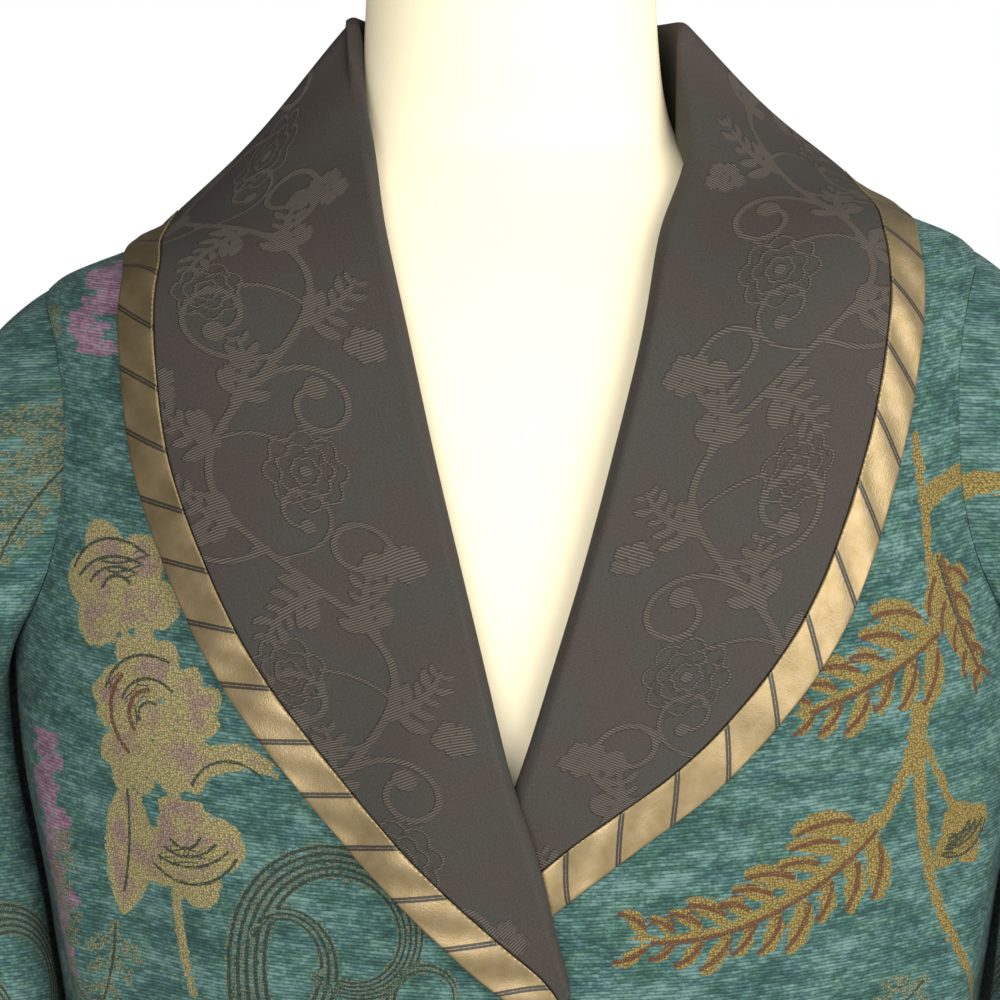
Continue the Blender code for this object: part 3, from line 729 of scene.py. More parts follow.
def finish_piece(
    piece: bpy.types.Object, material: bpy.types.Material, slot: str, *nodes: str
) -> None:
    """Gives a piece its material and ties it to the frame.

    Args:
        piece: the object.
        material: its finish.
        slot: the record's material slot, which is not used.
        nodes: the solids that it is shown in place of.
    """
    if not piece.data.materials:
        piece.data.materials.append(material)
    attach(piece, "root")
    if nodes:
        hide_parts(*nodes)
    LOG.info("%s: %d faces", piece.name, len(piece.data.polygons))


def ring_faces(rings: int, count: int, first: int = 0) -> list[list[int]]:
    """Faces between closed rings of points that are numbered one ring after another.

    Args:
        rings: how many rings there are.
        count: how many points a ring has.
        first: number of the first point.

    Returns:
        The point numbers of each face.
    """
    row, col = np.meshgrid(np.arange(rings - 1), np.arange(count), indexing="ij")
    below, after = first + row * count, (col + 1) % count
    quads = [below + col, below + after, below + count + after, below + count + col]
    return np.stack(quads, axis=-1).reshape(-1, 4).tolist()


def turned(
    name: str, outline: Sequence[tuple[float, float]], turns: int, sharp_deg: float = 180
) -> bpy.types.Mesh:
    """A solid turned round the upright axis.

    Args:
        name: the mesh's name.
        outline: radius and height, from the axis at the bottom to the axis at the top.
        turns: points in a ring.
        sharp_deg: the angle between faces past which an edge is hard.

    Returns:
        The mesh.
    """
    around = [2 * math.pi * k / turns for k in range(turns)]
    points = [(0.0, 0.0, outline[0][1])]
    for radius, z in outline[1:-1]:
        points += [(radius * math.cos(a), radius * math.sin(a), z) for a in around]
    points.append((0.0, 0.0, outline[-1][1]))
    last, top = len(points) - 1, len(points) - 1 - turns
    faces = [[0, 1 + (k + 1) % turns, 1 + k] for k in range(turns)]
    faces += ring_faces(len(outline) - 2, turns, 1)
    faces += [[last, top + k, top + (k + 1) % turns] for k in range(turns)]
    mesh = bpy.data.meshes.new(name)
    mesh.from_pydata(points, [], faces)
    mesh.shade_smooth()
    mesh.set_sharp_from_angle(angle=math.radians(sharp_deg))
    return mesh


# Woven shapes


class Yarn(Enum):
    """The yarns that a woven shape is drawn in, with the names of their marks on the cloth."""

    GOLD = "gold"
    AMBER = "amber"
    OLIVE = "olive"
    PLUM = "plum"
    VINE = "vine"


class Kind(Enum):
    """Kinds of woven shape, named for the methods that draw them."""

    STEM = "stem"
    LEAF = "leaf"
    FERN = "fern"
    BLOSSOM = "blossom"
    LOBED = "lobed"
    SCROLL = "scroll"
    CURL = "curl"
    VINE = "vine"
    PEONY = "peony"
    PATCH = "patch"


@dataclass(frozen=True)
class Motif:
    """One woven shape of a spray: its place and turn in the spray, its size, and its counts."""

    kind: Kind
    yarn: Yarn
    x: float
    y: float
    size: float
    turn_deg: float = 0.0
    width: float = 0.0
    count: int = 5
    bend: float = 0.0

    @property
    def start(self) -> Array:
        """Where the shape starts."""
        return np.array([self.x, self.y])

    @property
    def turn(self) -> float:
        """The way that the shape heads, in radians."""
        return math.radians(self.turn_deg)


# Half widths of a fine line and of a rib, and the width from which a stem is drawn as a broad one
FINE_LINE = 0.0006
RIB_LINE = 0.0010
CORD = 0.0026


def bent(start: Array, turn: float, length: float, bend: float, count: int = 24, power: float = 1) -> Array:
    """Points of an arc that leaves a point and heads in a direction on average.

    Args:
        start: the first point.
        turn: the direction in radians.
        length: the arc's length.
        bend: how far it turns in all.
        count: how many points are wanted.
        power: 1 for an even turn, more for one that tightens.

    Returns:
        The points.
    """
    t = np.linspace(0, 1, count)
    heading = turn + bend * (t**power - 0.5)
    path = np.stack([np.cos(heading), np.sin(heading)], -1)[:-1] * length / (count - 1)
    return start + np.concatenate([[[0, 0]], np.cumsum(path, axis=0)])


def spoke(angle: float) -> Array:
    """A step of length one in a direction."""
    return np.array([math.cos(angle), math.sin(angle)])


@dataclass
class Drawing:
    """Woven shapes as discs of a yarn, fine lines as dense points, and combs of lines side by side.

    A point of a line has its place, heading and half width, and a point of a comb its place, heading,
    distance between lines and count of lines.
    """

    discs: dict[Yarn, list[Array]] = field(default_factory=dict)
    lines: list[Array] = field(default_factory=list)
    combs: list[Array] = field(default_factory=list)

    def disc(self, yarn: Yarn, points: Array, radii: Any) -> None:
        """Adds discs along a path."""
        radius = np.broadcast_to(np.asarray(radii, float), points.shape[:1])
        self.discs.setdefault(yarn, []).append(np.column_stack([points, radius]))

    def line(self, points: Array, half: float = FINE_LINE, step: float = 0.0005) -> None:
        """Adds a fine line through points.

        Args:
            points: a path.
            half: half of the line's width.
            step: distance between the dense points.
        """
        run = lengths(points)
        at = np.arange(0, run[-1], step)
        dense = np.stack([np.interp(at, run, points[:, k]) for k in range(2)], axis=-1)
        if len(dense) > 2:
            heading = unit(np.gradient(dense, axis=0))
            self.lines.append(np.column_stack([dense, heading, np.full(len(dense), half)]))

    def draw(self, motif: Motif) -> None:
        """Adds one motif."""
        getattr(self, motif.kind.value)(motif)

    def stem(self, motif: Motif) -> None:
        """A stem: a fine cord, or a broader one that tapers.

        Args:
            motif: the stem.
        """
        path = bent(motif.start, motif.turn, motif.size, motif.bend, 60)
        if motif.width < CORD:
            self.line(path, motif.width / 2)
        else:
            self.disc(motif.yarn, path, np.linspace(1, 0.6, len(path)) * motif.width / 2)

    def leaf(self, motif: Motif) -> None:
        """A pointed leaf with a midrib."""
        self._blade(motif.yarn, motif.start, motif.turn, motif.size, motif.width, motif.bend)
        self.line(bent(motif.start, motif.turn, motif.size * 0.8, motif.bend))

    def _blade(
        self,
        yarn: Yarn,
        start: Array,
        turn: float,
        length: float,
        width: float,
        bend: float = 0.0,
        fullest: float = 0.8,
    ) -> None:
        """Discs of a leaf or petal that is fullest part of the way along.

        Args:
            yarn: what it is woven in.
            start: its foot.
            turn: its direction.
            length: its length.
            width: its greatest width.
            bend: how far it turns in all.
            fullest: 1 for the middle, more for nearer to the tip.
        """
        path = bent(start, turn, length, bend, max(8, int(length / 0.0012)))
        t = np.linspace(0.02, 0.98, len(path))
        self.disc(yarn, path, np.sin(math.pi * t**fullest) ** 0.85 * width / 2)

    def fern(self, motif: Motif) -> None:
        """A curved stem with pairs of leaflets that shorten to the tip.

        Args:
            motif: the fern.
        """
        path = bent(motif.start, motif.turn, motif.size, motif.bend, 120)
        edged = motif.yarn is Yarn.AMBER
        slim = 0.34 if edged else 0.42
        radius = np.linspace(0.0032, 0.0012, len(path)) * (0.5 + 20 * motif.width)
        self.disc(motif.yarn, path, radius)
        square = unit(np.gradient(path, axis=0)) @ np.array([[0, 1], [-1, 0]])
        rib = path + square * (0.9 * radius[:, None] if edged else 0)
        self.line(rib[4:-10], RIB_LINE if edged else FINE_LINE)
        for k in range(motif.count):
            t = (k + 0.6) / motif.count
            at = int(t * (len(path) - 2))
            heading = math.atan2(*(path[at + 1] - path[at])[::-1])
            length = motif.width * (1.0 - 0.5 * t) * (0.85 + 0.15 * math.sin(1 + 2.1 * k))
            for lean in (-1, 1):
                away = heading + lean * math.radians(56 - 14 * t)
                bend = -0.9 * lean
                self._blade(motif.yarn, path[at], away, length, length * slim, bend, 1.1)
                if edged:
                    beside = path[at] + length * slim * 0.42 * spoke(away + lean * math.pi / 2)
                    self.line(bent(beside, away - 0.2 * lean, length * 0.9, bend)[6:], RIB_LINE)

    def blossom(self, motif: Motif) -> None:
        """A flower of separate rounded petals with veins and a round middle.

        Args:
            motif: the flower.
        """
        size = motif.size
        for k in range(motif.count):
            heading = motif.turn + 2 * math.pi * k / motif.count
            start = motif.start + 0.14 * size * spoke(heading)
            reach = size * (0.84 + 0.12 * math.sin(2.3 * k))
            for spread in (-0.42, 0, 0.42):
                tip = reach * (1.06 - 0.3 * abs(spread))
                self._blade(motif.yarn, start, heading + spread, tip, size * 0.42, 0.2, 1.5)
        self.disc(motif.yarn, motif.start[None], size * 0.24)
        if motif.yarn is Yarn.GOLD:
            for k, share in enumerate((0.18, 0.32, 0.46, 0.60, 0.74)):
                way, sweep = motif.turn + 2.9 + 0.7 * math.sin(2.6 * k), 2.4 - 1.2 * share
                first = motif.start + share * size * spoke(way)
                arc = bent(first, way - (math.pi + sweep) / 2, sweep * share * size, -sweep)
                self.line(arc, RIB_LINE if k % 2 else FINE_LINE)

    def vine(self, motif: Motif) -> None:
        """A waving cord that runs on from one repeat to the next.

        Args:
            motif: the vine.
        """
        x = np.linspace(0, motif.size, 160)
        wave = motif.bend * np.sin(2 * math.pi * x / motif.size)
        self.line(motif.start + np.stack([x, wave], axis=-1), motif.width / 2)

    def peony(self, motif: Motif) -> None:
        """A full flower: rings of scalloped petals round a middle.

        Args:
            motif: the flower.
        """
        for ring in range(3):
            petals = motif.count - ring
            turn = np.linspace(0, 2 * math.pi, 30 * petals)
            reach = motif.size * (1 - 0.32 * ring) * (0.8 + 0.2 * np.abs(np.sin(petals * turn / 2)))
            around = motif.turn * (1 + ring) + turn
            petal = np.stack([np.cos(around), np.sin(around)], axis=-1) * reach[:, None]
            self.line(motif.start + petal, motif.width / 2)
        self.disc(motif.yarn, motif.start[None], motif.size * 0.16)

    def lobed(self, motif: Motif) -> None:
        """A leaf of round lobes round its stalk's end, with curved ribs across them.

        Args:
            motif: the leaf.
        """
        size = motif.size
        self.disc(motif.yarn, motif.start[None], size * 0.45)
        for k in range(motif.count):
            spread = (k - (motif.count - 1) / 2) * math.radians(56)
            reach = size * (1.0 - 0.12 * abs(spread)) * (0.94 + 0.06 * math.cos(5 * k))
            self._blade(motif.yarn, motif.start, motif.turn + spread, reach, size * 0.7, 0, 1.5)
        for share in (0.26, 0.42, 0.58, 0.74):
            first = motif.start + share * size * spoke(motif.turn - 1.0)
            self.line(bent(first, motif.turn + 1.5, 1.9 * share * size, 1.5 + 0.4 * math.sin(9 * share)))
        self.disc(motif.yarn, bent(motif.start, motif.turn + math.pi, size * 0.8, 0.6, 30), 0.0016)

    def scroll(self, motif: Motif) -> None:
        """A comb of lines that draw together and wind up, on a bed of flecks.

        Args:
            motif: the scroll.
        """
        spine = bent(motif.start, motif.turn + motif.bend / 2, motif.size, motif.bend, 160, 1.5)
        apart = motif.width * np.linspace(1, 0.35, len(spine))
        counts = np.full(len(spine), motif.count)
        self.combs.append(np.column_stack([spine, unit(np.gradient(spine, axis=0)), apart, counts]))
        self.disc(motif.yarn, spine, apart * motif.count / 2)

    def curl(self, motif: Motif) -> None:
        """A cord that winds up to a round end.

        Args:
            motif: the curl.
        """
        path = bent(motif.start, motif.turn + motif.bend / 2, motif.size, motif.bend, 90, 1.7)
        self.line(path, motif.width / 2)
        self.disc(motif.yarn, path[-1:], motif.width * 1.9)

    def patch(self, motif: Motif) -> None:
        """A ragged patch of short floats, one above the other.

        Args:
            motif: the patch.
        """
        path = bent(motif.start, motif.turn, motif.size, motif.bend, motif.count)
        for k, middle in enumerate(path):
            taper = 1.2 - 0.7 * k / motif.count
            reach = motif.width * taper * (0.75 + 0.25 * math.sin(4.1 * k + 2 * math.sin(0.9 * k)))
            drift = 0.18 * motif.width * (math.sin(0.5 * k) + 0.7 * math.sin(1.37 * k + 1))
            across = np.linspace(-reach / 2, reach / 2, 12)[:, None] * np.array([1, 0.06])
            self.disc(motif.yarn, middle + np.array([drift, 0]) + across, 0.0017)


# How far from a shape its distance is still measured, and how far a comb runs on past its ends
FARTHEST = 0.012
COMB_END = 0.002

BLOSSOM_SPRAY = (
    Motif(Kind.BLOSSOM, Yarn.GOLD, 0.002, -0.002, 0.034, 24),
    Motif(Kind.LOBED, Yarn.GOLD, -0.014, 0.046, 0.033, 112),
    Motif(Kind.LEAF, Yarn.GOLD, -0.012, -0.036, 0.054, -97, 0.026, bend=-0.25),
    Motif(Kind.LOBED, Yarn.GOLD, 0.016, -0.046, 0.033, -72, count=3),
    Motif(Kind.LEAF, Yarn.GOLD, 0.022, -0.026, 0.046, 8, 0.012, bend=-1.9),
    Motif(Kind.STEM, Yarn.GOLD, -0.006, 0.052, 0.034, -74, 0.0042, bend=0.5),
    Motif(Kind.STEM, Yarn.GOLD, 0.012, -0.064, 0.054, -82, 0.0062, bend=0.4),
    Motif(Kind.SCROLL, Yarn.OLIVE, 0.046, -0.115, 0.186, 96, 0.0042, count=5, bend=-5.5),
    Motif(Kind.SCROLL, Yarn.OLIVE, 0.078, -0.112, 0.080, 70, 0.0036, count=3, bend=4.4),
    Motif(Kind.SCROLL, Yarn.OLIVE, 0.112, -0.126, 0.070, 120, 0.0036, count=2, bend=-4.6),
    Motif(Kind.PATCH, Yarn.PLUM, -0.066, -0.022, 0.100, -80, 0.020, count=42),
    Motif(Kind.PATCH, Yarn.OLIVE, -0.055, -0.062, 0.074, -80, 0.015, count=32),
    Motif(Kind.FERN, Yarn.OLIVE, -0.022, -0.096, 0.060, -104, 0.018, count=6, bend=-0.5),
)
FERN_SPRAY = (
    Motif(Kind.STEM, Yarn.AMBER, -0.013, 0.092, 0.110, -92, 0.0050, bend=-0.55),
    Motif(Kind.STEM, Yarn.AMBER, -0.018, -0.016, 0.150, -70, 0.0064, bend=0.85),
    Motif(Kind.FERN, Yarn.AMBER, -0.006, 0.022, 0.070, -158, 0.034, count=6, bend=-0.3),
    Motif(Kind.STEM, Yarn.AMBER, -0.018, -0.010, 0.058, -114, 0.0072, bend=-0.5),
    Motif(Kind.FERN, Yarn.AMBER, -0.038, -0.054, 0.114, -160, 0.034, count=10, bend=-1.0),
    Motif(Kind.LEAF, Yarn.AMBER, -0.002, 0.046, 0.056, -68, 0.018, bend=0.2),
    Motif(Kind.FERN, Yarn.AMBER, -0.002, 0.046, 0.056, -68, 0.020, count=5, bend=0.2),
    Motif(Kind.STEM, Yarn.AMBER, -0.017, -0.024, 0.046, -63, 0.0046),
    Motif(Kind.LOBED, Yarn.AMBER, 0.003, -0.063, 0.020, -60, count=3),
    Motif(Kind.STEM, Yarn.AMBER, -0.004, 0.070, 0.040, 10, 0.0100, bend=-0.3),
    Motif(Kind.FERN, Yarn.OLIVE, -0.012, -0.128, 0.060, -150, 0.020, count=6, bend=-0.4),
)
BRANCH_SPRAY = (
    Motif(Kind.STEM, Yarn.AMBER, -0.040, 0.036, 0.080, 6, 0.0096, bend=-0.3),
    Motif(Kind.LOBED, Yarn.GOLD, -0.004, -0.008, 0.027, -66),
    Motif(Kind.LEAF, Yarn.GOLD, -0.010, -0.046, 0.040, -70, 0.016, bend=0.4),
    Motif(Kind.LEAF, Yarn.OLIVE, 0.020, 0.040, 0.030, 60, 0.012, bend=-0.4),
)
SHOULDER_SPRAY = (
    Motif(Kind.PATCH, Yarn.PLUM, 0.024, 0.034, 0.064, -112, 0.032, count=30),
    Motif(Kind.PATCH, Yarn.OLIVE, -0.036, -0.010, 0.062, -95, 0.034, count=28),
    Motif(Kind.FERN, Yarn.OLIVE, -0.024, -0.052, 0.052, -84, 0.020, count=6, bend=0.4),
    Motif(Kind.LEAF, Yarn.OLIVE, -0.044, 0.014, 0.036, 118, 0.015),
)
VINE_SPRAY = (
    Motif(Kind.VINE, Yarn.VINE, 0.000, 0.066, 0.176, width=0.0034, bend=0.030),
    Motif(Kind.PEONY, Yarn.VINE, 0.046, 0.054, 0.018, 20, 0.0012, count=8),
    Motif(Kind.PEONY, Yarn.VINE, 0.134, 0.080, 0.016, 50, 0.0012, count=7),
    Motif(Kind.STEM, Yarn.VINE, 0.062, 0.088, 0.028, -96, 0.0018, bend=-0.9),
    Motif(Kind.STEM, Yarn.VINE, 0.120, 0.040, 0.030, 62, 0.0018, bend=0.8),
    Motif(Kind.CURL, Yarn.VINE, 0.012, 0.078, 0.104, 112, 0.0028, bend=-7.2),
    Motif(Kind.CURL, Yarn.VINE, 0.084, 0.070, 0.100, -58, 0.0028, bend=-7.0),
    Motif(Kind.CURL, Yarn.VINE, 0.098, 0.056, 0.110, 96, 0.0028, bend=-6.8),
    Motif(Kind.CURL, Yarn.VINE, 0.160, 0.048, 0.096, -70, 0.0028, bend=6.8),
    Motif(Kind.CURL, Yarn.VINE, 0.008, 0.070, 0.076, -80, 0.0018, bend=6.4),
    Motif(Kind.FERN, Yarn.VINE, 0.024, 0.089, 0.032, 52, 0.016, bend=-0.8),
    Motif(Kind.FERN, Yarn.VINE, 0.060, 0.090, 0.034, 48, 0.017, bend=-0.8),
    Motif(Kind.FERN, Yarn.VINE, 0.078, 0.078, 0.032, -12, 0.016, bend=0.9),
    Motif(Kind.FERN, Yarn.VINE, 0.112, 0.042, 0.032, -54, 0.016, bend=0.8),
    Motif(Kind.FERN, Yarn.VINE, 0.148, 0.040, 0.030, -8, 0.016, bend=-0.9),
    Motif(Kind.FERN, Yarn.VINE, 0.168, 0.060, 0.034, 128, 0.017, bend=0.8),
    Motif(Kind.BLOSSOM, Yarn.VINE, 0.090, 0.112, 0.010, 10),
    Motif(Kind.BLOSSOM, Yarn.VINE, 0.004, 0.022, 0.010, 40),
    Motif(Kind.BLOSSOM, Yarn.VINE, 0.170, 0.112, 0.009, 60),
    Motif(Kind.BLOSSOM, Yarn.VINE, 0.100, 0.018, 0.009, 20),
)
VINE_REPEAT = 0.176
TAPESTRY_YARNS = (Yarn.GOLD, Yarn.AMBER, Yarn.OLIVE, Yarn.PLUM)


@dataclass(frozen=True)
class Place:
    """Where a spray lies on a piece of cloth, and whether it is turned over."""

    spray: tuple[Motif, ...]
    across: float
    up: float
    mirrored: bool = False
    turn_deg: float = 0.0

    def drawing(self) -> Drawing:
        """The spray's shapes, moved to their place.

        Returns:
            The drawing, in the cloth's coordinates.
        """
        local, placed = Drawing(), Drawing()
        for motif in self.spray:
            local.draw(motif)
        ahead = spoke(math.radians(self.turn_deg))
        turn = np.array([[ahead[0], ahead[1]], [-ahead[1], ahead[0]]])
        turn = np.array([[-1 if self.mirrored else 1, 0], [0, 1]]) @ turn
        shift = np.array([self.across, self.up])
        for yarn, parts in local.discs.items():
            for part in parts:
                placed.disc(yarn, part[:, :2] @ turn + shift, part[:, 2])
        for parts, moved in ((local.lines, placed.lines), (local.combs, placed.combs)):
            for part in parts:
                spots, headings = part[:, :2] @ turn + shift, part[:, 2:4] @ turn
                moved.append(np.column_stack([spots, headings, part[:, 4:]]))
        return placed


RIGHT_PLACES = (
    Place(BLOSSOM_SPRAY, -0.157, 0.581),
    Place(SHOULDER_SPRAY, -0.192, 0.756),
    Place(FERN_SPRAY, -0.090, 0.345, mirrored=True),
    Place(BLOSSOM_SPRAY, -0.215, 0.300),
)
LEFT_PLACES = (
    Place(FERN_SPRAY, 0.190, 0.590),
    Place(BLOSSOM_SPRAY, 0.090, 0.350, mirrored=True),
    Place(FERN_SPRAY, 0.235, 0.300, turn_deg=10),
    Place(SHOULDER_SPRAY, 0.205, 0.860, mirrored=True),
)
BACK_PLACES = (
    Place(BLOSSOM_SPRAY, -0.120, 0.660),
    Place(FERN_SPRAY, 0.060, 0.690),
    Place(BLOSSOM_SPRAY, 0.190, 0.600, mirrored=True),
    Place(FERN_SPRAY, -0.150, 0.400, mirrored=True),
    Place(BLOSSOM_SPRAY, 0.000, 0.430),
    Place(FERN_SPRAY, 0.190, 0.350),
    Place(BLOSSOM_SPRAY, -0.070, 0.240, mirrored=True),
)
RIGHT_ARM_PLACES = (
    Place(SHOULDER_SPRAY, 0.110, 0.725),
    Place(FERN_SPRAY, -0.070, 0.640),
    Place(BLOSSOM_SPRAY, 0.030, 0.520),
    Place(FERN_SPRAY, 0.080, 0.330, mirrored=True),
    Place(BLOSSOM_SPRAY, -0.090, 0.380, mirrored=True),
)
LEFT_ARM_PLACES = (
    Place(BRANCH_SPRAY, -0.070, 0.611),
    Place(FERN_SPRAY, 0.060, 0.640),
    Place(BLOSSOM_SPRAY, -0.040, 0.500, mirrored=True),
    Place(FERN_SPRAY, -0.080, 0.330),
    Place(BLOSSOM_SPRAY, 0.090, 0.380),
)


def mark_yarns(wall: Wall, places: Iterable[Place], yarns: Sequence[Yarn]) -> None:
    """Stores on a wall how far each point is from the edge of each yarn's shapes and from fine lines.

    Args:
        wall: the cloth.
        places: the sprays on it.
        yarns: the yarns that its finish shows.
    """
    spots = np.stack([wall.across, wall.up], axis=-1).reshape(-1, 2).astype(np.float32)
    marks = {yarn.value: np.full(len(spots), FARTHEST, np.float32) for yarn in yarns}
    side, off = (np.full(len(spots), FARTHEST, np.float32) for _ in range(2))
    half, comb = (np.zeros(len(spots), np.float32) for _ in range(2))
    comb_off = np.full(len(spots), FARTHEST, np.float32)
    for drawing in (place.drawing() for place in places):
        for yarn, parts in drawing.discs.items():
            far = marks[yarn.value]
            for part in parts:
                near, gap = _reach(spots, part)
                if len(near):
                    far[near] = np.minimum(far[near], (gap - part[None, :, 2]).min(axis=1))
        for part in drawing.lines:
            near, best, cross, line = _beside(spots, part)
            closer = best < off[near]
            side[near[closer]] = cross[closer]
            off[near[closer]] = best[closer]
            half[near[closer]] = line[closer, 4]
        for part in drawing.combs:
            near, best, cross, line = _beside(spots, part)
            count = cross / line[:, 4] + line[:, 5] / 2
            past_end = np.sqrt(np.maximum(best**2 - cross**2, 0)) - COMB_END
            edge = np.maximum(np.abs(cross) - line[:, 4] * line[:, 5] / 2, past_end)
            closer = edge < comb_off[near]
            comb[near[closer]] = count[closer]
            comb_off[near[closer]] = edge[closer]
    marks |= {"line_side": side, "line_off": off, "line_half": half, "comb": comb, "comb_off": comb_off}
    wall.marks |= {name: values.reshape(wall.across.shape) for name, values in marks.items()}


def _beside(spots: Array, part: Array) -> tuple[Array, Array, Array, Array]:
    """Which spots lie near a line, and where beside it.

    Args:
        spots: points of the cloth.
        part: the line's points.

    Returns:
        The spots' numbers, distances and distances to the left, and the line's point nearest to each.
    """
    near, gap = _reach(spots, part)
    nearest = gap.argmin(axis=1)
    line = part[nearest]
    away = spots[near] - line[:, :2]
    return near, gap.min(axis=1), line[:, 2] * away[:, 1] - line[:, 3] * away[:, 0], line


def _reach(spots: Array, part: Array) -> tuple[Array, Array]:
    """Which spots lie near a shape, and their distances to its points.

    Args:
        spots: points of the cloth.
        part: the shape's points.

    Returns:
        The spots' numbers, and a row of distances for each.
    """
    part = part.astype(np.float32)
    low, high = part[:, :2].min(axis=0) - FARTHEST, part[:, :2].max(axis=0) + FARTHEST
    near = np.flatnonzero(((spots > low) & (spots < high)).all(axis=1))
    x = spots[near, :1] - part[None, :, 0]
    y = spots[near, 1:] - part[None, :, 1]
    return near, np.sqrt(x * x + y * y)


# Finishes


def linear(code: str) -> tuple[float, float, float, float]:
    """The linear colour of an sRGB hex value.

    Args:
        code: a colour such as #ffffff.

    Returns:
        Red, green, blue and alpha.
    """
    parts = [int(code[k : k + 2], 16) / 255 for k in (1, 3, 5)]
    red, green, blue = (p / 12.92 if p <= 0.04045 else ((p + 0.055) / 1.055) ** 2.4 for p in parts)
    return red, green, blue, 1.0


# Inputs and settings that many nodes share
PLAIN = {"Scale": 1.0, "Detail": 1.0}
DETAILED = {"Scale": 1.0, "Detail": 2.0}
FLAT = {"noise_dimensions": "2D"}
CELLS = {"voronoi_dimensions": "2D"}
COLOUR = {"data_type": "RGBA", "out": "Result_Color"}
TIMES = {"operation": "MULTIPLY"}
TIMES_PLUS = {"operation": "MULTIPLY_ADD"}
SCALED = {"operation": "SCALE"}
SIZE = {"operation": "ABSOLUTE"}
SOFT = {"interpolation_type": "SMOOTHSTEP"}


class Nodes:
    """A node tree, made one node at a time."""

    def __init__(self, tree: bpy.types.NodeTree) -> None:
        """Keeps the tree's nodes and links."""
        self.nodes, self.links = tree.nodes, tree.links

    def add(
        self, kind: str, inputs: dict[Any, Any] | None = None, out: Any = 0, **settings: Any
    ) -> bpy.types.NodeSocket:
        """Adds a node, with its settings and the values or links of its inputs.

        Args:
            kind: the node's type, where a shader node's may go without its "ShaderNode" start.
            inputs: values or output sockets by input name or number.
            out: name, number or identifier of the output that is wanted.
            settings: the node's own properties.

        Returns:
            The wanted output socket.
        """
        node = self.nodes.new(kind if "Node" in kind else "ShaderNode" + kind)
        for key, value in settings.items():
            setattr(node, key, value)
        self.feed(node, inputs or {})
        named = [socket for socket in node.outputs if socket.identifier == out]
        return named[0] if named else node.outputs[out]

    def feed(self, node: bpy.types.Node, inputs: dict[Any, Any]) -> None:
        """Sets or links a node's inputs.

        Args:
            node: the node.
            inputs: values or output sockets by input name or number.
        """
        for key, value in inputs.items():
            if isinstance(value, bpy.types.NodeSocket):
                self.links.new(value, node.inputs[key])
            else:
                node.inputs[key].default_value = value


class Tree(Nodes):
    """A material's node tree, with what the cloths' trees share."""

    def __init__(self, name: str) -> None:
        """Starts a material with its shader and no other node.

        Args:
            name: the material's name.
        """
        self.material = bpy.data.materials.new(name)
        self.material.use_nodes = True
        super().__init__(self.material.node_tree)
        self.shader = self.nodes["Principled BSDF"]

    def mark(self, name: str) -> bpy.types.NodeSocket:
        """A number that the cloth carries at each point."""
        return self.add("Attribute", attribute_name=name, out="Fac")

    def cells(self, wide_mm: float, high_mm: float) -> bpy.types.NodeSocket:
        """The cloth's own coordinates, counted in cells of a size."""
        cloth = self.add("Attribute", attribute_name="cloth", out="Vector")
        return self.add("VectorMath", {0: cloth, 1: (1000 / wide_mm, 1000 / high_mm, 1)}, **TIMES)

    def drawn_lines(self, ragged: Any, rag_mm: float) -> bpy.types.NodeSocket:
        """1 on the fine lines that are woven into the cloth.

        Args:
            ragged: a noise that roughens the lines.
            rag_mm: how far it moves their sides.

        Returns:
            The mask.
        """
        add = self.add
        half = self.mark("line_half")
        off = add("Math", {0: self.mark("line_off"), 1: half}, operation="SUBTRACT")
        side = add("Math", {0: self.mark("line_side")}, **SIZE)
        side = add("Math", {0: side, 1: half}, operation="SUBTRACT")
        side = add("Math", {0: ragged, 1: rag_mm / 1000, 2: side}, **TIMES_PLUS)
        rag = rag_mm / 2000
        line = add("MapRange", {0: side, 1: rag + 0.0003, 2: rag - 0.0002}, **SOFT)
        return add("Math", {0: line, 1: add("MapRange", {0: off, 1: 0.0013, 2: 0.0009})}, **TIMES)


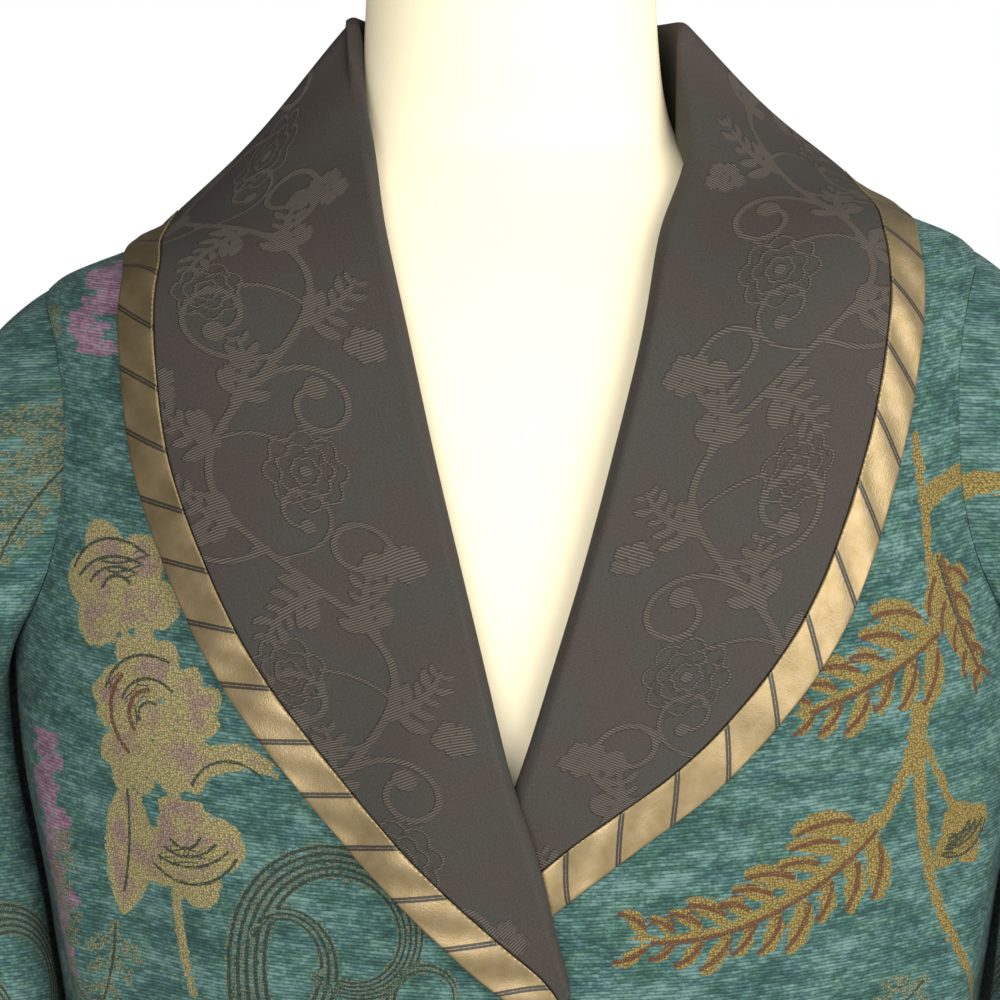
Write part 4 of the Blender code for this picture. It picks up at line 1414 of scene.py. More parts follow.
@dataclass(frozen=True)
class Chenille:
    """Tapestry of teal chenille weft with flowers in gold, olive and plum yarns.

    The chenille shows as level rows of light and dark dashes of pile, with painted shade in the gaps
    between the rows, and the flowers as bright beads on a duller ground, where the flat yarns cross the
    warp, each bead brightest at its crown as a painted highlight.
    """

    pile_mm: float = 1.5
    dash_mm: float = 6.0
    bead_mm: tuple[float, float] = (1.15, 1.05)
    wander_mm: tuple[float, float] = (16, 7)
    fuzz_mm: tuple[float, float] = (1.5, 0.8)
    broad_mm: tuple[float, float] = (30, 12)
    zone_mm: tuple[float, float] = (13, 11)
    teal: tuple[str, str, str, str] = ("#2e4745", "#406257", "#406060", "#63827d")
    # Gold, amber and olive go from a dull colour to a brighter bead colour at each bead's crown, as a
    # painted highlight
    gold: tuple[str, str] = ("#706845", "#6b5951")
    bead: tuple[str, str] = ("#b8ae82", "#a89585")
    amber: tuple[str, str] = ("#61522d", "#a7985f")
    olive: tuple[str, str, str] = ("#49523f", "#9b9573", "#7a8578")
    plum: tuple[str, str] = ("#6b5263", "#977a8e")
    ink: str = "#2d3831"
    rust: str = "#573b2d"

    def build(self) -> bpy.types.Material:
        """The finish as a material.

        Returns:
            The material.
        """
        tree = Tree("teal chenille tapestry, woven")
        add = tree.add
        wander = add("TexNoise", {"Vector": tree.cells(*self.wander_mm), **PLAIN}, **FLAT)
        fuzz = add("TexNoise", {"Vector": tree.cells(*self.fuzz_mm), **DETAILED}, **FLAT)
        broad = add("TexNoise", {"Vector": tree.cells(*self.broad_mm), **PLAIN}, **FLAT)
        u, v = (add("SeparateXYZ", {0: tree.cells(self.dash_mm, self.pile_mm)}, k) for k in range(2))
        row = add("Math", {0: wander, 1: 0.7, 2: v}, **TIMES_PLUS)
        number = add("Math", {0: row}, operation="FLOOR")
        pile = add("Math", {0: add("Math", {0: row}, operation="FRACT"), 1: math.pi}, **TIMES)
        pile = add("Math", {0: pile}, operation="SINE")
        dash_at = add("CombineXYZ", {0: u, 1: add("Math", {0: number, 1: 3.7}, **TIMES)})
        dash = add("TexNoise", {"Vector": dash_at, **DETAILED}, **FLAT)
        tone = add("Math", {0: fuzz, 1: 0.60, 2: dash}, **TIMES_PLUS)
        tone = add("Math", {0: broad, 1: 0.60, 2: tone}, **TIMES_PLUS)
        # Painted light: the tone rises a little towards the middle of each row of pile
        tone = add("Math", {0: pile, 1: 0.12, 2: tone}, **TIMES_PLUS)
        low = add("MapRange", {0: tone, 1: 0.90, 2: 1.18})
        high = add("MapRange", {0: tone, 1: 1.18, 2: 1.50})
        hue = add("MapRange", {0: wander, 1: 0.36, 2: 0.64})
        teal = add("Mix", {0: hue, 6: linear(self.teal[1]), 7: linear(self.teal[2])}, **COLOUR)
        teal = add("Mix", {0: low, 6: linear(self.teal[0]), 7: teal}, **COLOUR)
        teal = add("Mix", {0: high, 6: teal, 7: linear(self.teal[3])}, **COLOUR)
        # Painted shade: the teal darkens in the gaps between rows of pile and is full at each row's middle
        shade = add("MapRange", {0: pile, 1: 0.0, 2: 0.75, 3: 0.76, 4: 1.07})
        teal = add("VectorMath", {0: teal, "Scale": shade}, **SCALED)

        # Painted highlight: each bead is brightest at its crown and dulls towards its edge, on the gold,
        # amber and olive yarns
        spots = {"Vector": tree.cells(*self.bead_mm), "Scale": 1.0, "Randomness": 0.65}
        crown = add("MapRange", {0: add("TexVoronoi", spots, "Distance", **CELLS), 1: 0.56, 2: 0.10})
        lustre = add("SeparateXYZ", {0: add("TexVoronoi", spots, "Color", **CELLS)})
        lustre = add("MapRange", {0: lustre, 3: 0.35, 4: 1.0})
        crown = add("Math", {0: crown, 1: lustre}, **TIMES)
        deep = add("MapRange", {0: tree.mark("gold"), 1: -0.0020, 2: -0.0044})
        zone = add("TexNoise", {"Vector": tree.cells(*self.zone_mm), **DETAILED}, **FLAT)
        zone = add("MapRange", {0: zone, 1: 0.42, 2: 0.62})
        zone = add("Math", {0: zone, 1: deep}, **TIMES)
        gold = add("Mix", {0: zone, 6: linear(self.gold[0]), 7: linear(self.gold[1])}, **COLOUR)
        bead = add("Mix", {0: zone, 6: linear(self.bead[0]), 7: linear(self.bead[1])}, **COLOUR)
        gold = add("Mix", {0: crown, 6: gold, 7: bead}, **COLOUR)
        amber = add("Mix", {0: crown, 6: linear(self.amber[0]), 7: linear(self.amber[1])}, **COLOUR)
        comb = add("MapRange", {0: tree.mark("comb_off"), 1: 0.0002, 2: -0.0006}, **SOFT)
        fleck = add("Mix", {0: comb, 6: linear(self.olive[1]), 7: linear(self.olive[2])}, **COLOUR)
        olive = add("Mix", {0: crown, 6: linear(self.olive[0]), 7: fleck}, **COLOUR)
        plum = add("MapRange", {0: tone, 1: 0.95, 2: 1.40})
        plum = add("Mix", {0: plum, 6: linear(self.plum[0]), 7: linear(self.plum[1])}, **COLOUR)
        # The plum takes the same painted shade in the gaps between rows of pile
        plum = add("VectorMath", {0: plum, "Scale": shade}, **SCALED)

        # A yarn's edge steps with the rows of weft
        inside = {}
        for yarn in TAPESTRY_YARNS:
            far = add("Math", {0: dash, 1: 0.0044, 2: tree.mark(yarn.value)}, **TIMES_PLUS)
            inside[yarn] = add("MapRange", {0: far, 1: 0.0025, 2: 0.0019}, **SOFT)
        flecks = add("MapRange", {0: lustre, 1: 0.45, 2: 0.70, 4: 0.85})
        flecks = add("Math", {0: inside[Yarn.OLIVE], 1: flecks}, **TIMES)
        drawn = tree.drawn_lines(dash, 0.9)
        tooth = add("Math", {0: dash, 1: 0.16, 2: tree.mark("comb")}, **TIMES_PLUS)
        tooth = add("Math", {0: tooth}, operation="FRACT")
        tooth = add("Math", {0: add("Math", {0: tooth, 1: 0.58}, operation="SUBTRACT")}, **SIZE)
        tooth = add("MapRange", {0: tooth, 1: 0.29, 2: 0.18}, **SOFT)
        drawn = add("Math", {0: drawn, 1: add("Math", {0: tooth, 1: comb}, **TIMES)}, operation="MAXIMUM")
        kept = add("MapRange", {0: crown, 1: 0.30, 2: 0.80, 3: 0.95, 4: 0.45})
        drawn = add("Math", {0: drawn, 1: kept}, **TIMES)
        broad_line = add("MapRange", {0: tree.mark("line_half"), 1: 0.0007, 2: 0.0009})
        ink = add("Mix", {0: broad_line, 6: linear(self.ink), 7: linear(self.rust)}, **COLOUR)
        colour = add("Mix", {0: inside[Yarn.PLUM], 6: teal, 7: plum}, **COLOUR)
        colour = add("Mix", {0: flecks, 6: colour, 7: olive}, **COLOUR)
        colour = add("Mix", {0: inside[Yarn.GOLD], 6: colour, 7: gold}, **COLOUR)
        colour = add("Mix", {0: inside[Yarn.AMBER], 6: colour, 7: amber}, **COLOUR)
        colour = add("Mix", {0: drawn, 6: colour, 7: ink}, **COLOUR)

        rows = add("Math", {0: fuzz, 1: 1.2, 2: pile}, **TIMES_PLUS)
        beads = add("Math", {0: crown, 1: 1.0, 2: 0.9}, **TIMES_PLUS)
        flat = add("Math", {0: inside[Yarn.GOLD], 1: inside[Yarn.AMBER]}, operation="MAXIMUM")
        height = add("Mix", {0: flat, 2: rows, 3: beads}, data_type="FLOAT")
        height = add("Math", {0: drawn, 1: -0.6, 2: height}, **TIMES_PLUS)
        bump = add("Bump", {"Height": height, "Distance": 0.0005, "Strength": 0.6})
        tree.feed(
            tree.shader,
            {"Base Color": colour, "Roughness": 0.95, "Specular IOR Level": 0.10, "Normal": bump,
             "Sheen Weight": 0.04, "Sheen Roughness": 0.5},
        )
        return tree.material


@dataclass(frozen=True)
class Damask:
    """Charcoal damask: a smooth satin ground with a vine in a raised, ribbed weave of the same yarn."""

    rib_mm: float = 1.2
    # The satin's threads are about 0.2 mm apart, and drawn coarser so that they show
    grain_mm: float = 0.9
    cloud_mm: float = 38.0
    ground: tuple[str, str] = ("#3f3936", "#3c3b37")
    # The vine's colour in its rib valleys, as painted shade, and on its rib crests, as painted highlight
    vine: tuple[str, str] = ("#3d3935", "#635d55")

    def build(self) -> bpy.types.Material:
        """The finish as a material.

        Returns:
            The material.
        """
        tree = Tree("charcoal damask, woven")
        add = tree.add
        grain = add("TexNoise", {"Vector": tree.cells(self.grain_mm, self.grain_mm), **DETAILED}, **FLAT)
        broad = add("TexNoise", {"Vector": tree.cells(self.cloud_mm, self.cloud_mm), **PLAIN}, **FLAT)
        x, y = (add("SeparateXYZ", {0: tree.cells(self.rib_mm, self.rib_mm)}, k) for k in range(2))
        slope = add("Math", {0: y, 1: 0.3, 2: x}, **TIMES_PLUS)
        slope = add("Math", {0: broad, 1: 5.0, 2: slope}, **TIMES_PLUS)
        rib = add("Math", {0: add("Math", {0: slope, 1: 2 * math.pi}, **TIMES)}, operation="SINE")
        rib = add("MapRange", {0: rib, 1: -0.5, 2: 0.7})
        far = add("Math", {0: grain, 1: 0.0012, 2: tree.mark("vine")}, **TIMES_PLUS)
        inside = add("MapRange", {0: far, 1: 0.0009, 2: 0.0002}, **SOFT)
        cords = tree.drawn_lines(grain, 0.5)
        raised = add("Math", {0: inside, 1: cords}, operation="MAXIMUM")
        tint = add("MapRange", {0: broad, 1: 0.38, 2: 0.62})
        ground = add("Mix", {0: tint, 6: linear(self.ground[0]), 7: linear(self.ground[1])}, **COLOUR)
        nap = add("MapRange", {0: grain, 1: 0.3, 2: 0.7, 3: 0.86, 4: 1.14})
        ground = add("VectorMath", {0: ground, "Scale": nap}, **SCALED)
        # Painted shade and highlight: the vine is dark in its rib valleys and light on its rib crests
        vine = add("Mix", {0: rib, 6: linear(self.vine[0]), 7: linear(self.vine[1])}, **COLOUR)
        colour = add("Mix", {0: raised, 6: ground, 7: vine}, **COLOUR)
        height = add("Math", {0: rib, 1: 0.5, 2: 0.8}, **TIMES_PLUS)
        height = add("Math", {0: height, 1: raised}, **TIMES)
        height = add("Math", {0: grain, 1: 0.25, 2: height}, **TIMES_PLUS)
        bump = add("Bump", {"Height": height, "Distance": 0.0006, "Strength": 1.0})
        rough = add("MapRange", {0: raised, 3: 0.7, 4: 0.85})
        tree.feed(
            tree.shader,
            {"Base Color": colour, "Roughness": rough, "Specular IOR Level": 0.18, "Normal": bump},
        )
        return tree.material


@dataclass(frozen=True)
class Taffeta:
    """Old-gold taffeta cut on the bias: a lustrous fine weave with pairs of dark woven stripes."""

    pitch_mm: float = 28.0
    line_mm: float = 1.35
    between_mm: float = 1.65
    mottle_mm: float = 6.0
    # Threads are about 0.2 mm apart, and drawn coarser so that they show
    thread_mm: float = 0.8
    gold: tuple[str, str] = ("#867652", "#958468")
    stripe: str = "#27221a"

    def build(self) -> bpy.types.Material:
        """The finish as a material.

        Returns:
            The material.
        """
        tree = Tree("old-gold striped taffeta, woven")
        add = tree.add
        threads = add("TexNoise", {"Vector": tree.cells(self.thread_mm, self.thread_mm), **PLAIN}, **FLAT)
        at = add("Math", {0: tree.mark("stripe"), 1: 1000 / self.pitch_mm}, **TIMES)
        at = add("Math", {0: at}, operation="FRACT")
        at = add("Math", {0: add("Math", {0: at, 1: -0.5}, operation="ADD")}, **SIZE)
        at = add("Math", {0: at, 1: self.pitch_mm, 2: -self.between_mm / 2}, **TIMES_PLUS)
        at = add("Math", {0: threads, 1: 0.4, 2: add("Math", {0: at}, **SIZE)}, **TIMES_PLUS)
        half = self.line_mm / 2
        line = add("MapRange", {0: at, 1: half + 0.40, 2: half + 0.05}, **SOFT)
        where = {"Vector": tree.cells(self.mottle_mm, self.mottle_mm), **DETAILED}
        mottle = add("MapRange", {0: add("TexNoise", where, **FLAT), 1: 0.2, 2: 0.8})
        ground = add("Mix", {0: mottle, 6: linear(self.gold[0]), 7: linear(self.gold[1])}, **COLOUR)
        colour = add("Mix", {0: line, 6: ground, 7: linear(self.stripe)}, **COLOUR)
        height = add("Math", {0: line, 1: -0.5, 2: threads}, **TIMES_PLUS)
        bump = add("Bump", {"Height": height, "Distance": 0.0002, "Strength": 0.35})
        metallic = add("MapRange", {0: line, 3: 0.85, 4: 0.0})
        tree.feed(
            tree.shader,
            {"Base Color": colour, "Roughness": 0.40, "Metallic": metallic, "Normal": bump},
        )
        return tree.material


@dataclass(frozen=True)
class Jersey:
    """Cream cotton jersey stretched over a padded form: matt, with fine rows of knit."""

    # A stitch is about 0.7 mm wide, and drawn coarser so that it shows
    stitch_mm: float = 1.6
    cream: tuple[str, str] = ("#f8ecca", "#fdf2d4")

    def build(self) -> bpy.types.Material:
        """The finish as a material.

        Returns:
            The material.
        """
        tree = Tree("cream cotton jersey, knitted")
        add = tree.add
        fine = 1000 / self.stitch_mm
        knit_at = add("Mapping", {0: add("TexCoord", out="Object"), "Scale": (fine, fine, fine / 1.5)})
        knit = add("TexNoise", {"Vector": knit_at, **PLAIN})
        colour = add("Mix", {0: knit, 6: linear(self.cream[0]), 7: linear(self.cream[1])}, **COLOUR)
        bump = add("Bump", {"Height": knit, "Distance": 0.00015, "Strength": 0.35})
        tree.feed(
            tree.shader,
            {"Base Color": colour, "Roughness": 0.8, "Normal": bump, "Specular IOR Level": 0.25},
        )
        return tree.material


@dataclass(frozen=True)
class Steel:
    """Brushed stainless steel, with fine scratches."""

    colour: str = "#c9c9cb"
    # Scratches are under 0.1 mm wide, and drawn coarser so that they show
    scratch_mm: float = 0.9

    def build(self) -> bpy.types.Material:
        """The finish as a material.

        Returns:
            The material.
        """
        tree = Tree("stainless steel, brushed")
        where = {"Vector": tree.add("TexCoord", out="Object"), "Scale": 1000 / self.scratch_mm}
        rough = tree.add("MapRange", {0: tree.add("TexNoise", where), 3: 0.26, 4: 0.40})
        tree.feed(tree.shader, {"Base Color": linear(self.colour), "Metallic": 1.0, "Roughness": rough})
        return tree.material


@dataclass(frozen=True)
class Horn:
    """Polished dark horn, with soft brown clouds."""

    dark: str = "#241f1a"
    cloud: str = "#4a3b2c"
    cloud_mm: float = 6.0

    def build(self) -> bpy.types.Material:
        """The finish as a material.

        Returns:
            The material.
        """
        tree = Tree("dark horn, polished")
        add = tree.add
        where = {"Vector": add("TexCoord", out="Object"), "Scale": 1000 / self.cloud_mm}
        share = add("MapRange", {0: add("TexNoise", where), 1: 0.45, 2: 0.75})
        colour = add("Mix", {0: share, 6: linear(self.dark), 7: linear(self.cloud)}, **COLOUR)
        tree.feed(tree.shader, {"Base Color": colour, "Roughness": 0.24, "IOR": 1.54})
        return tree.material


@dataclass(frozen=True)
class Thread:
    """Sewing thread: spun polyester, matt."""

    colour: str

    def build(self) -> bpy.types.Material:
        """The finish as a material.

        Returns:
            The material.
        """
        tree = Tree("polyester thread, spun")
        tree.feed(tree.shader, {"Base Color": linear(self.colour), "Roughness": 0.65})
        return tree.material


@dataclass(frozen=True)
class Finishes:
    """The materials that the pieces share."""

    chenille: bpy.types.Material
    damask: bpy.types.Material
    taffeta: bpy.types.Material
    jersey: bpy.types.Material
    steel: bpy.types.Material
    horn: bpy.types.Material
    gold_thread: bpy.types.Material
    dark_thread: bpy.types.Material


# Cloth pieces


def fold_depth(panel: str, angle: Array, height: Array) -> Array:
    """How far the largest folds move a panel's face.

    Args:
        panel: the panel's name.
        angle: its points' angles.
        height: their heights.

    Returns:
        Distances outwards.
    """
    total = np.zeros(np.broadcast(angle, height).shape)
    for fold in PANEL_FOLDS:
        if fold.panel == panel:
            down = np.clip((fold.top - height) / (fold.top - fold.bottom), 0, 1)
            middle = np.radians(fold.angle_deg + fold.drift_deg * down)
            across = np.exp(-(((angle - middle) / math.radians(fold.width_deg)) ** 2))
            total = total + fold.depth * across * np.sin(math.pi * down) ** 2
    return total


def seam_angle(height: Array) -> Array:
    """Half of a seam's gap, as an angle at the side or the shoulder ridge."""
    return SEAM / 2 / column(JACKET_RINGS, "front", height)


def collar_rows(side: int) -> tuple[tuple[Lapel, ...], tuple[Neck, ...]]:
    """The lapel's and the neck's stations of one half of the collar."""
    return (RIGHT_LAPEL, RIGHT_NECK) if side < 0 else (LEFT_LAPEL, LEFT_NECK)


def front_edge_out(side: int, height: Any) -> Array:
    """Where a front ends towards the centre: its edge, then the roll line, then the neck seam.

    Args:
        side: the front's side.
        height: where to read it.

    Returns:
        Distances out from the centre front.
    """
    lapel, neck = collar_rows(side)
    heights = [HEM_Z, STRAIGHT_EDGE_TOP_Z] + [row.roll_z for row in lapel]
    outs = [-OVERLAP, -OVERLAP] + [row.roll_out for row in lapel]
    for station in neck:
        if station.seam_deg > 0:
            heights.append(station.seam_z)
            outs.append(float(JACKET.point(math.radians(station.seam_deg), station.seam_z)[0]))
    return smooth(height, heights, outs)


def climb(levels: Array, angle: float) -> Array:
    """Length of cloth up to each level along one line of the jacket, counted from the floor."""
    return HEM_Z + lengths(JACKET.point(np.full_like(levels, angle), levels))


class ClothPiece:
    """A cut piece of cloth: its name, how it is held, what it rests on, its edge and its finish's slot."""

    name = ""
    held = "draped"
    slot = "tapestry"
    rests_on = ("form_body",)
    edge = 0.0004

    def show(self, wall: Wall, finish: bpy.types.Material) -> None:
        """Shows a wall of cloth in place of its solid, and works out its area and flat cut, which are not
        kept.

        Args:
            wall: the cloth.
            finish: its material.
        """
        area, flat = wall.area(), wall.flat()
        wall.round_edges(self.edge)
        piece = new_piece(f"cloth_{self.name}", wall.mesh(self.name))
        finish_piece(piece, finish, self.slot, self.name)
        area = min(area, flat[0] * flat[1])
        list(self.rests_on)


class TapestryPiece(ClothPiece):
    """A piece of the tapestry, which carries sprays of woven shapes."""

    places: tuple[Place, ...] = ()

    def wall(self) -> Wall:
        """The piece's cloth."""
        raise NotImplementedError

    def dress(self, finishes: Finishes) -> None:
        """Builds the piece with its sprays.

        Args:
            finishes: the materials.
        """
        wall = self.wall()
        mark_yarns(wall, self.places, TAPESTRY_YARNS)
        self.show(wall, finishes.chenille)


@dataclass
class PanelSizes:
    """How finely a panel is drawn, in metres between points and in counts of rows and columns.

    The cloth's length is measured up the line at climb_deg, and spare rows are taken out spare_step apart.
    """

    low_step: float = 0.0034
    step: float = 0.0016
    armhole_rows: int = 104
    shoulder_rows: int = 48
    columns: int = 132
    fine_from: float = 0.44
    first_row: float = 0.002
    spare_step: int = 7
    usual_width: float = 0.24
    climb_deg: float = 45

    def levels(self) -> Array:
        """Heights of the panel's rows from the hem up, one more than a whole number of strides.

        Returns:
            The heights.
        """
        tail = HEM_Z + np.array([0, *EDGE_TAIL])
        low = np.arange(HEM_Z + self.first_row, self.fine_from, self.low_step)
        fine = np.arange(self.fine_from, ARMPIT_Z - self.step / 2, self.step)
        shoulder = np.linspace(SHOULDER_TIP_Z, NECK_Z, self.shoulder_rows + 1)[1:]
        heights = np.concatenate([tail, low, fine, armhole_levels(self.armhole_rows), shoulder])
        spare = (len(heights) - 1) % INNER_STRIDE
        return np.delete(heights, len(tail) + 1 + np.arange(spare) * self.spare_step)


class Front(TapestryPiece):
    """One front of the blazer, from its edge or roll line to the side seam, armhole and shoulder.

    The bust lifts the weft towards the side: bow is the lift over the square of the distance.
    """

    bow = 0.45

    def __init__(self, side: int, places: tuple[Place, ...]) -> None:
        """Keeps the front's side of the body, the sprays on it and how finely it is drawn.

        Args:
            side: the front's side.
            places: the sprays.
        """
        self.side, self.places = side, places
        self.sizes = PanelSizes()
        self.name = f"front_{hand(side)}"

    def wall(self) -> Wall:
        """The front's cloth.

        Returns:
            The wall.
        """
        levels = self.sizes.levels()
        height = levels[:, None]
        edge_out = front_edge_out(self.side, height)
        inner_angle = JACKET.angle_at(edge_out, height)
        outer_angle = np.maximum(ArmholeSide.FRONT.angle(height), seam_angle(height))
        share = closer_at_ends(self.sizes.columns, self.sizes.usual_width, EDGE_TAIL)[None, :]
        angle = inner_angle + (outer_angle - inner_angle) * share
        points, normals = JACKET.point(angle, height), JACKET.normal(angle, height)
        across = self.side * (edge_out + lengths(points, 1))
        up = climb(levels, math.radians(self.sizes.climb_deg))[:, None] - self.bow * across**2
        points = points + normals * fold_depth(self.name, angle, height)[..., None]
        if self.side < 0:
            points[..., 1] -= JACKET.lap(points[..., 0], points[..., 2])
        outer = JACKET.settle(on_side(points, self.side))
        inner = JACKET.settle(on_side(points - normals * CLOTH, self.side))
        return Wall(outer, inner, across, up)


class Back(TapestryPiece):
    """The back, in one piece from side seam to side seam and up to the neck."""

    name = "back"

    def __init__(self, places: tuple[Place, ...]) -> None:
        """Keeps the sprays on the back and how finely it is drawn.

        Args:
            places: the sprays.
        """
        self.places = places
        self.sizes = PanelSizes(
            low_step=0.0045,
            step=0.0034,
            armhole_rows=64,
            shoulder_rows=36,
            columns=156,
            usual_width=0.45,
            climb_deg=-60,
        )

    def wall(self) -> Wall:
        """The back's cloth.

        Returns:
            The wall.
        """
        levels = self.sizes.levels()
        height = levels[:, None]
        edge = -np.maximum(ArmholeSide.BACK.angle(height), seam_angle(height))
        share = closer_at_ends(self.sizes.columns, self.sizes.usual_width, EDGE_TAIL)[None, :]
        angle = edge + (-math.pi - 2 * edge) * share
        points, normals = JACKET.point(angle, height), JACKET.normal(angle, height)
        run = lengths(points, 1)
        across = run - run[:, -1:] / 2
        rise = climb(levels, math.radians(self.sizes.climb_deg))
        up = np.broadcast_to(rise[:, None], across.shape)
        points = points + normals * fold_depth("back", angle, height)[..., None]
        return Wall(JACKET.settle(points), JACKET.settle(points - normals * CLOTH), across, up)


@dataclass
class SleeveSizes:
    """How a sleeve leaves the armhole, leans in and lies on the side, and how finely it is drawn."""

    seam_in: float = 0.0006
    out_pull: float = 0.155
    down_pull: float = 0.22
    backward: float = 0.5
    drop: tuple[float, float] = (0.55, 0.9)
    lean: tuple[float, float] = (0.004, 0.007)
    lean_z: tuple[float, float] = (0.49, 0.57)
    clear_of_side: float = 0.0036
    leaves_side_z: tuple[float, float] = (0.585, 0.612)
    cap_length: float = 0.2
    cap_start: float = 0.012
    last_row: float = 0.002
    half: int = 80
    cap_rows: int = 72
    arm_rows: int = 112
    first_spare: int = 20
    spare_step: int = 9


class Sleeve(TapestryPiece):
    """One sleeve, a tube that hangs empty from the armhole to its plain hem and lies against the side."""

    held = "hung"

    def __init__(self, side: int, places: tuple[Place, ...]) -> None:
        """Keeps the sleeve's side of the body, the sprays on it and its sizes.

        Args:
            side: the sleeve's side.
            places: the sprays.
        """
        self.side, self.places = side, places
        self.sizes = SleeveSizes()
        self.name = f"sleeve_{hand(side)}"

    def loop(self) -> Array:
        """The sleeve's upper edge: from the shoulder tip down the front to the armpit and up the back.

        Returns:
            The points.
        """
        levels = armhole_levels(self.sizes.half)
        front = JACKET.point(ArmholeSide.FRONT.angle(levels), levels)
        back = JACKET.point(-ArmholeSide.BACK.angle(levels), levels)
        loop = np.concatenate([front[::-1], back[1:-1]])
        return loop + unit(loop.mean(axis=0) - loop) * self.sizes.seam_in

    def ring(self, height: float) -> Array:
        """One section below the armpit, from the outer side to the front and round.

        Args:
            height: the section's height.

        Returns:
            The points.
        """
        turn = np.linspace(0, 2 * math.pi, 2 * self.sizes.half, endpoint=False)
        sizes = self.sizes
        lean = sizes.lean[0] + sizes.lean[1] * ramp(-height, -sizes.lean_z[1], -sizes.lean_z[0])
        out = column(SLEEVE_RINGS, "centre_out", height) - lean
        out = out + column(SLEEVE_RINGS, "half_out", height) * np.cos(turn)
        y = column(SLEEVE_RINGS, "centre_y", height)
        y = y - column(SLEEVE_RINGS, "half_deep", height) * np.sin(turn)
        return np.stack([out, y, np.full_like(out, height)], axis=-1)

    def cap(self, loop: Array, ring: Array, following: Array) -> Array:
        """Sections from the armhole over the cap and down to the first full ring.

        Args:
            loop: the upper edge.
            ring: the first full ring.
            following: a ring below it.

        Returns:
            A row of points for each section.
        """
        turn = np.linspace(0, 2 * math.pi, len(loop), endpoint=False)
        under = (1 - np.cos(turn)) / 2
        sizes = self.sizes
        fall = -sizes.drop[0] - sizes.drop[1] * under
        leave = np.stack([np.ones_like(under), sizes.backward * np.sin(turn), fall], axis=-1)
        reach = np.linalg.norm(ring - loop, axis=-1, keepdims=True)
        leave = unit(leave) * sizes.out_pull * reach / reach[0]
        arrive = unit(following - ring) * sizes.down_pull * reach / reach[0]
        tail = np.array([0, *EDGE_TAIL]) / sizes.cap_length
        even = np.linspace(sizes.cap_start, 1, sizes.cap_rows, endpoint=False)
        t = np.concatenate([tail, even])[:, None, None]
        start = (1 + 2 * t) * (1 - t) ** 2 * loop + t * (1 - t) ** 2 * leave
        return start + t * t * (3 - 2 * t) * ring + t * t * (t - 1) * arrive

    def creases(self, angle_deg: Array, height: Array) -> Array:
        """How far the largest folds move the sleeve's wall.

        Args:
            angle_deg: the points' angles round the sleeve.
            height: their heights.

        Returns:
            Distances outwards.
        """
        total = np.zeros(np.broadcast(angle_deg, height).shape)
        for crease in SLEEVE_CREASES:
            if crease.side == self.side:
                turn = (angle_deg - crease.angle_deg + 180) % 360 - 180
                middle = crease.height + crease.slant * turn / crease.spread_deg
                across = np.exp(-(((height - middle) / crease.thickness) ** 2))
                total = total + crease.depth * across * np.exp(-((turn / crease.spread_deg) ** 2))
        return total

    def wall(self) -> Wall:
        """The sleeve's cloth.

        Returns:
            The wall.
        """
        sizes, bottom = self.sizes, SLEEVE_RINGS[-1].height
        heights = np.linspace(SLEEVE_RINGS[0].height, bottom + sizes.last_row, sizes.arm_rows)
        heights = np.concatenate([heights, bottom + np.array([*EDGE_TAIL[::-1], 0])])
        rings = np.array([self.ring(height) for height in heights])
        grid = np.concatenate([self.cap(self.loop(), rings[0], rings[2]), rings])
        spare = (len(grid) - 1) % INNER_STRIDE
        grid = np.delete(grid, sizes.first_spare + sizes.spare_step * np.arange(spare), axis=0)
        pressed = JACKET.lay_on(grid, np.full(grid.shape[:2], sizes.clear_of_side))
        grid = grid + (pressed - grid) * (1 - ramp(grid[..., 2:], *sizes.leaves_side_z))
        around = np.roll(grid, -1, axis=1) - np.roll(grid, 1, axis=1)
        normals = unit(np.cross(np.gradient(grid, axis=0), around))
        normals = normals * np.sign(np.sum(normals * (grid - grid.mean(axis=1, keepdims=True))))
        angle = np.linspace(0, 360, grid.shape[1], endpoint=False)[None, :]
        grid = grid + normals * self.creases(angle, grid[..., 2])[..., None]
        girth = np.median(np.linalg.norm(np.roll(grid, -1, axis=1) - grid, axis=-1).sum(axis=1))
        across = -self.side * ((angle + 180) % 360 / 360 - 0.5) * girth * np.ones_like(grid[..., 0])
        outer_line = grid[::-1, 0]
        up = SHOULDER_TIP_Z - np.interp(grid[..., 2], outer_line[:, 2], lengths(grid[:, 0])[::-1])
        outer = JACKET.settle(on_side(grid, self.side))
        inner = JACKET.settle(on_side(grid - normals * CLOTH, self.side))
        return Wall(outer, inner, across, up, tube=True)


@dataclass
class CollarSizes:
    """Sizes of the collar's roll and binding, and how finely it is drawn."""

    binding_width: float = 0.0176
    roll_height: float = 0.0042
    lapped_roll_height: float = 0.0030
    fall_height: float = 0.0026
    fall_sag: float = 0.005
    nose_reach: float = 0.0024
    nose_rise: float = 0.0012
    roll_radius: float = 0.006
    pucker: float = 0.00055
    pucker_pitch: float = 0.028
    second_pitch: float = 0.041
    stands_from_z: float = 0.79
    covered_z: tuple[float, float] = (0.57, 0.62)
    seam_gaps: float = 2.5
    roll_fade: float = 0.022
    least_slant: float = 0.4
    largest_radius_share: float = 0.8
    largest_band_share: float = 0.7
    band_inset: float = 0.12
    last_row: float = 0.002
    stitch_column: int = 3
    stitch_lift: float = 0.48
    fall_samples: int = 140
    stations: int = 473
    roll_columns: int = 10
    fall_columns: int = 88
    binding_columns: int = 17
    slant: float = math.tan(math.radians(40))


class CollarCloth(ClothPiece):
    """The damask of one half of the collar, or the striped binding along its outer edge."""

    held = "folded"
    edge = 0.0009

    def __init__(self, name: str, slot: str, side: int) -> None:
        """Keeps the piece's name and slot, and what it lies on."""
        self.name, self.slot = f"{name}_{hand(side)}", slot
        self.rests_on = (f"front_{hand(side)}", "back")


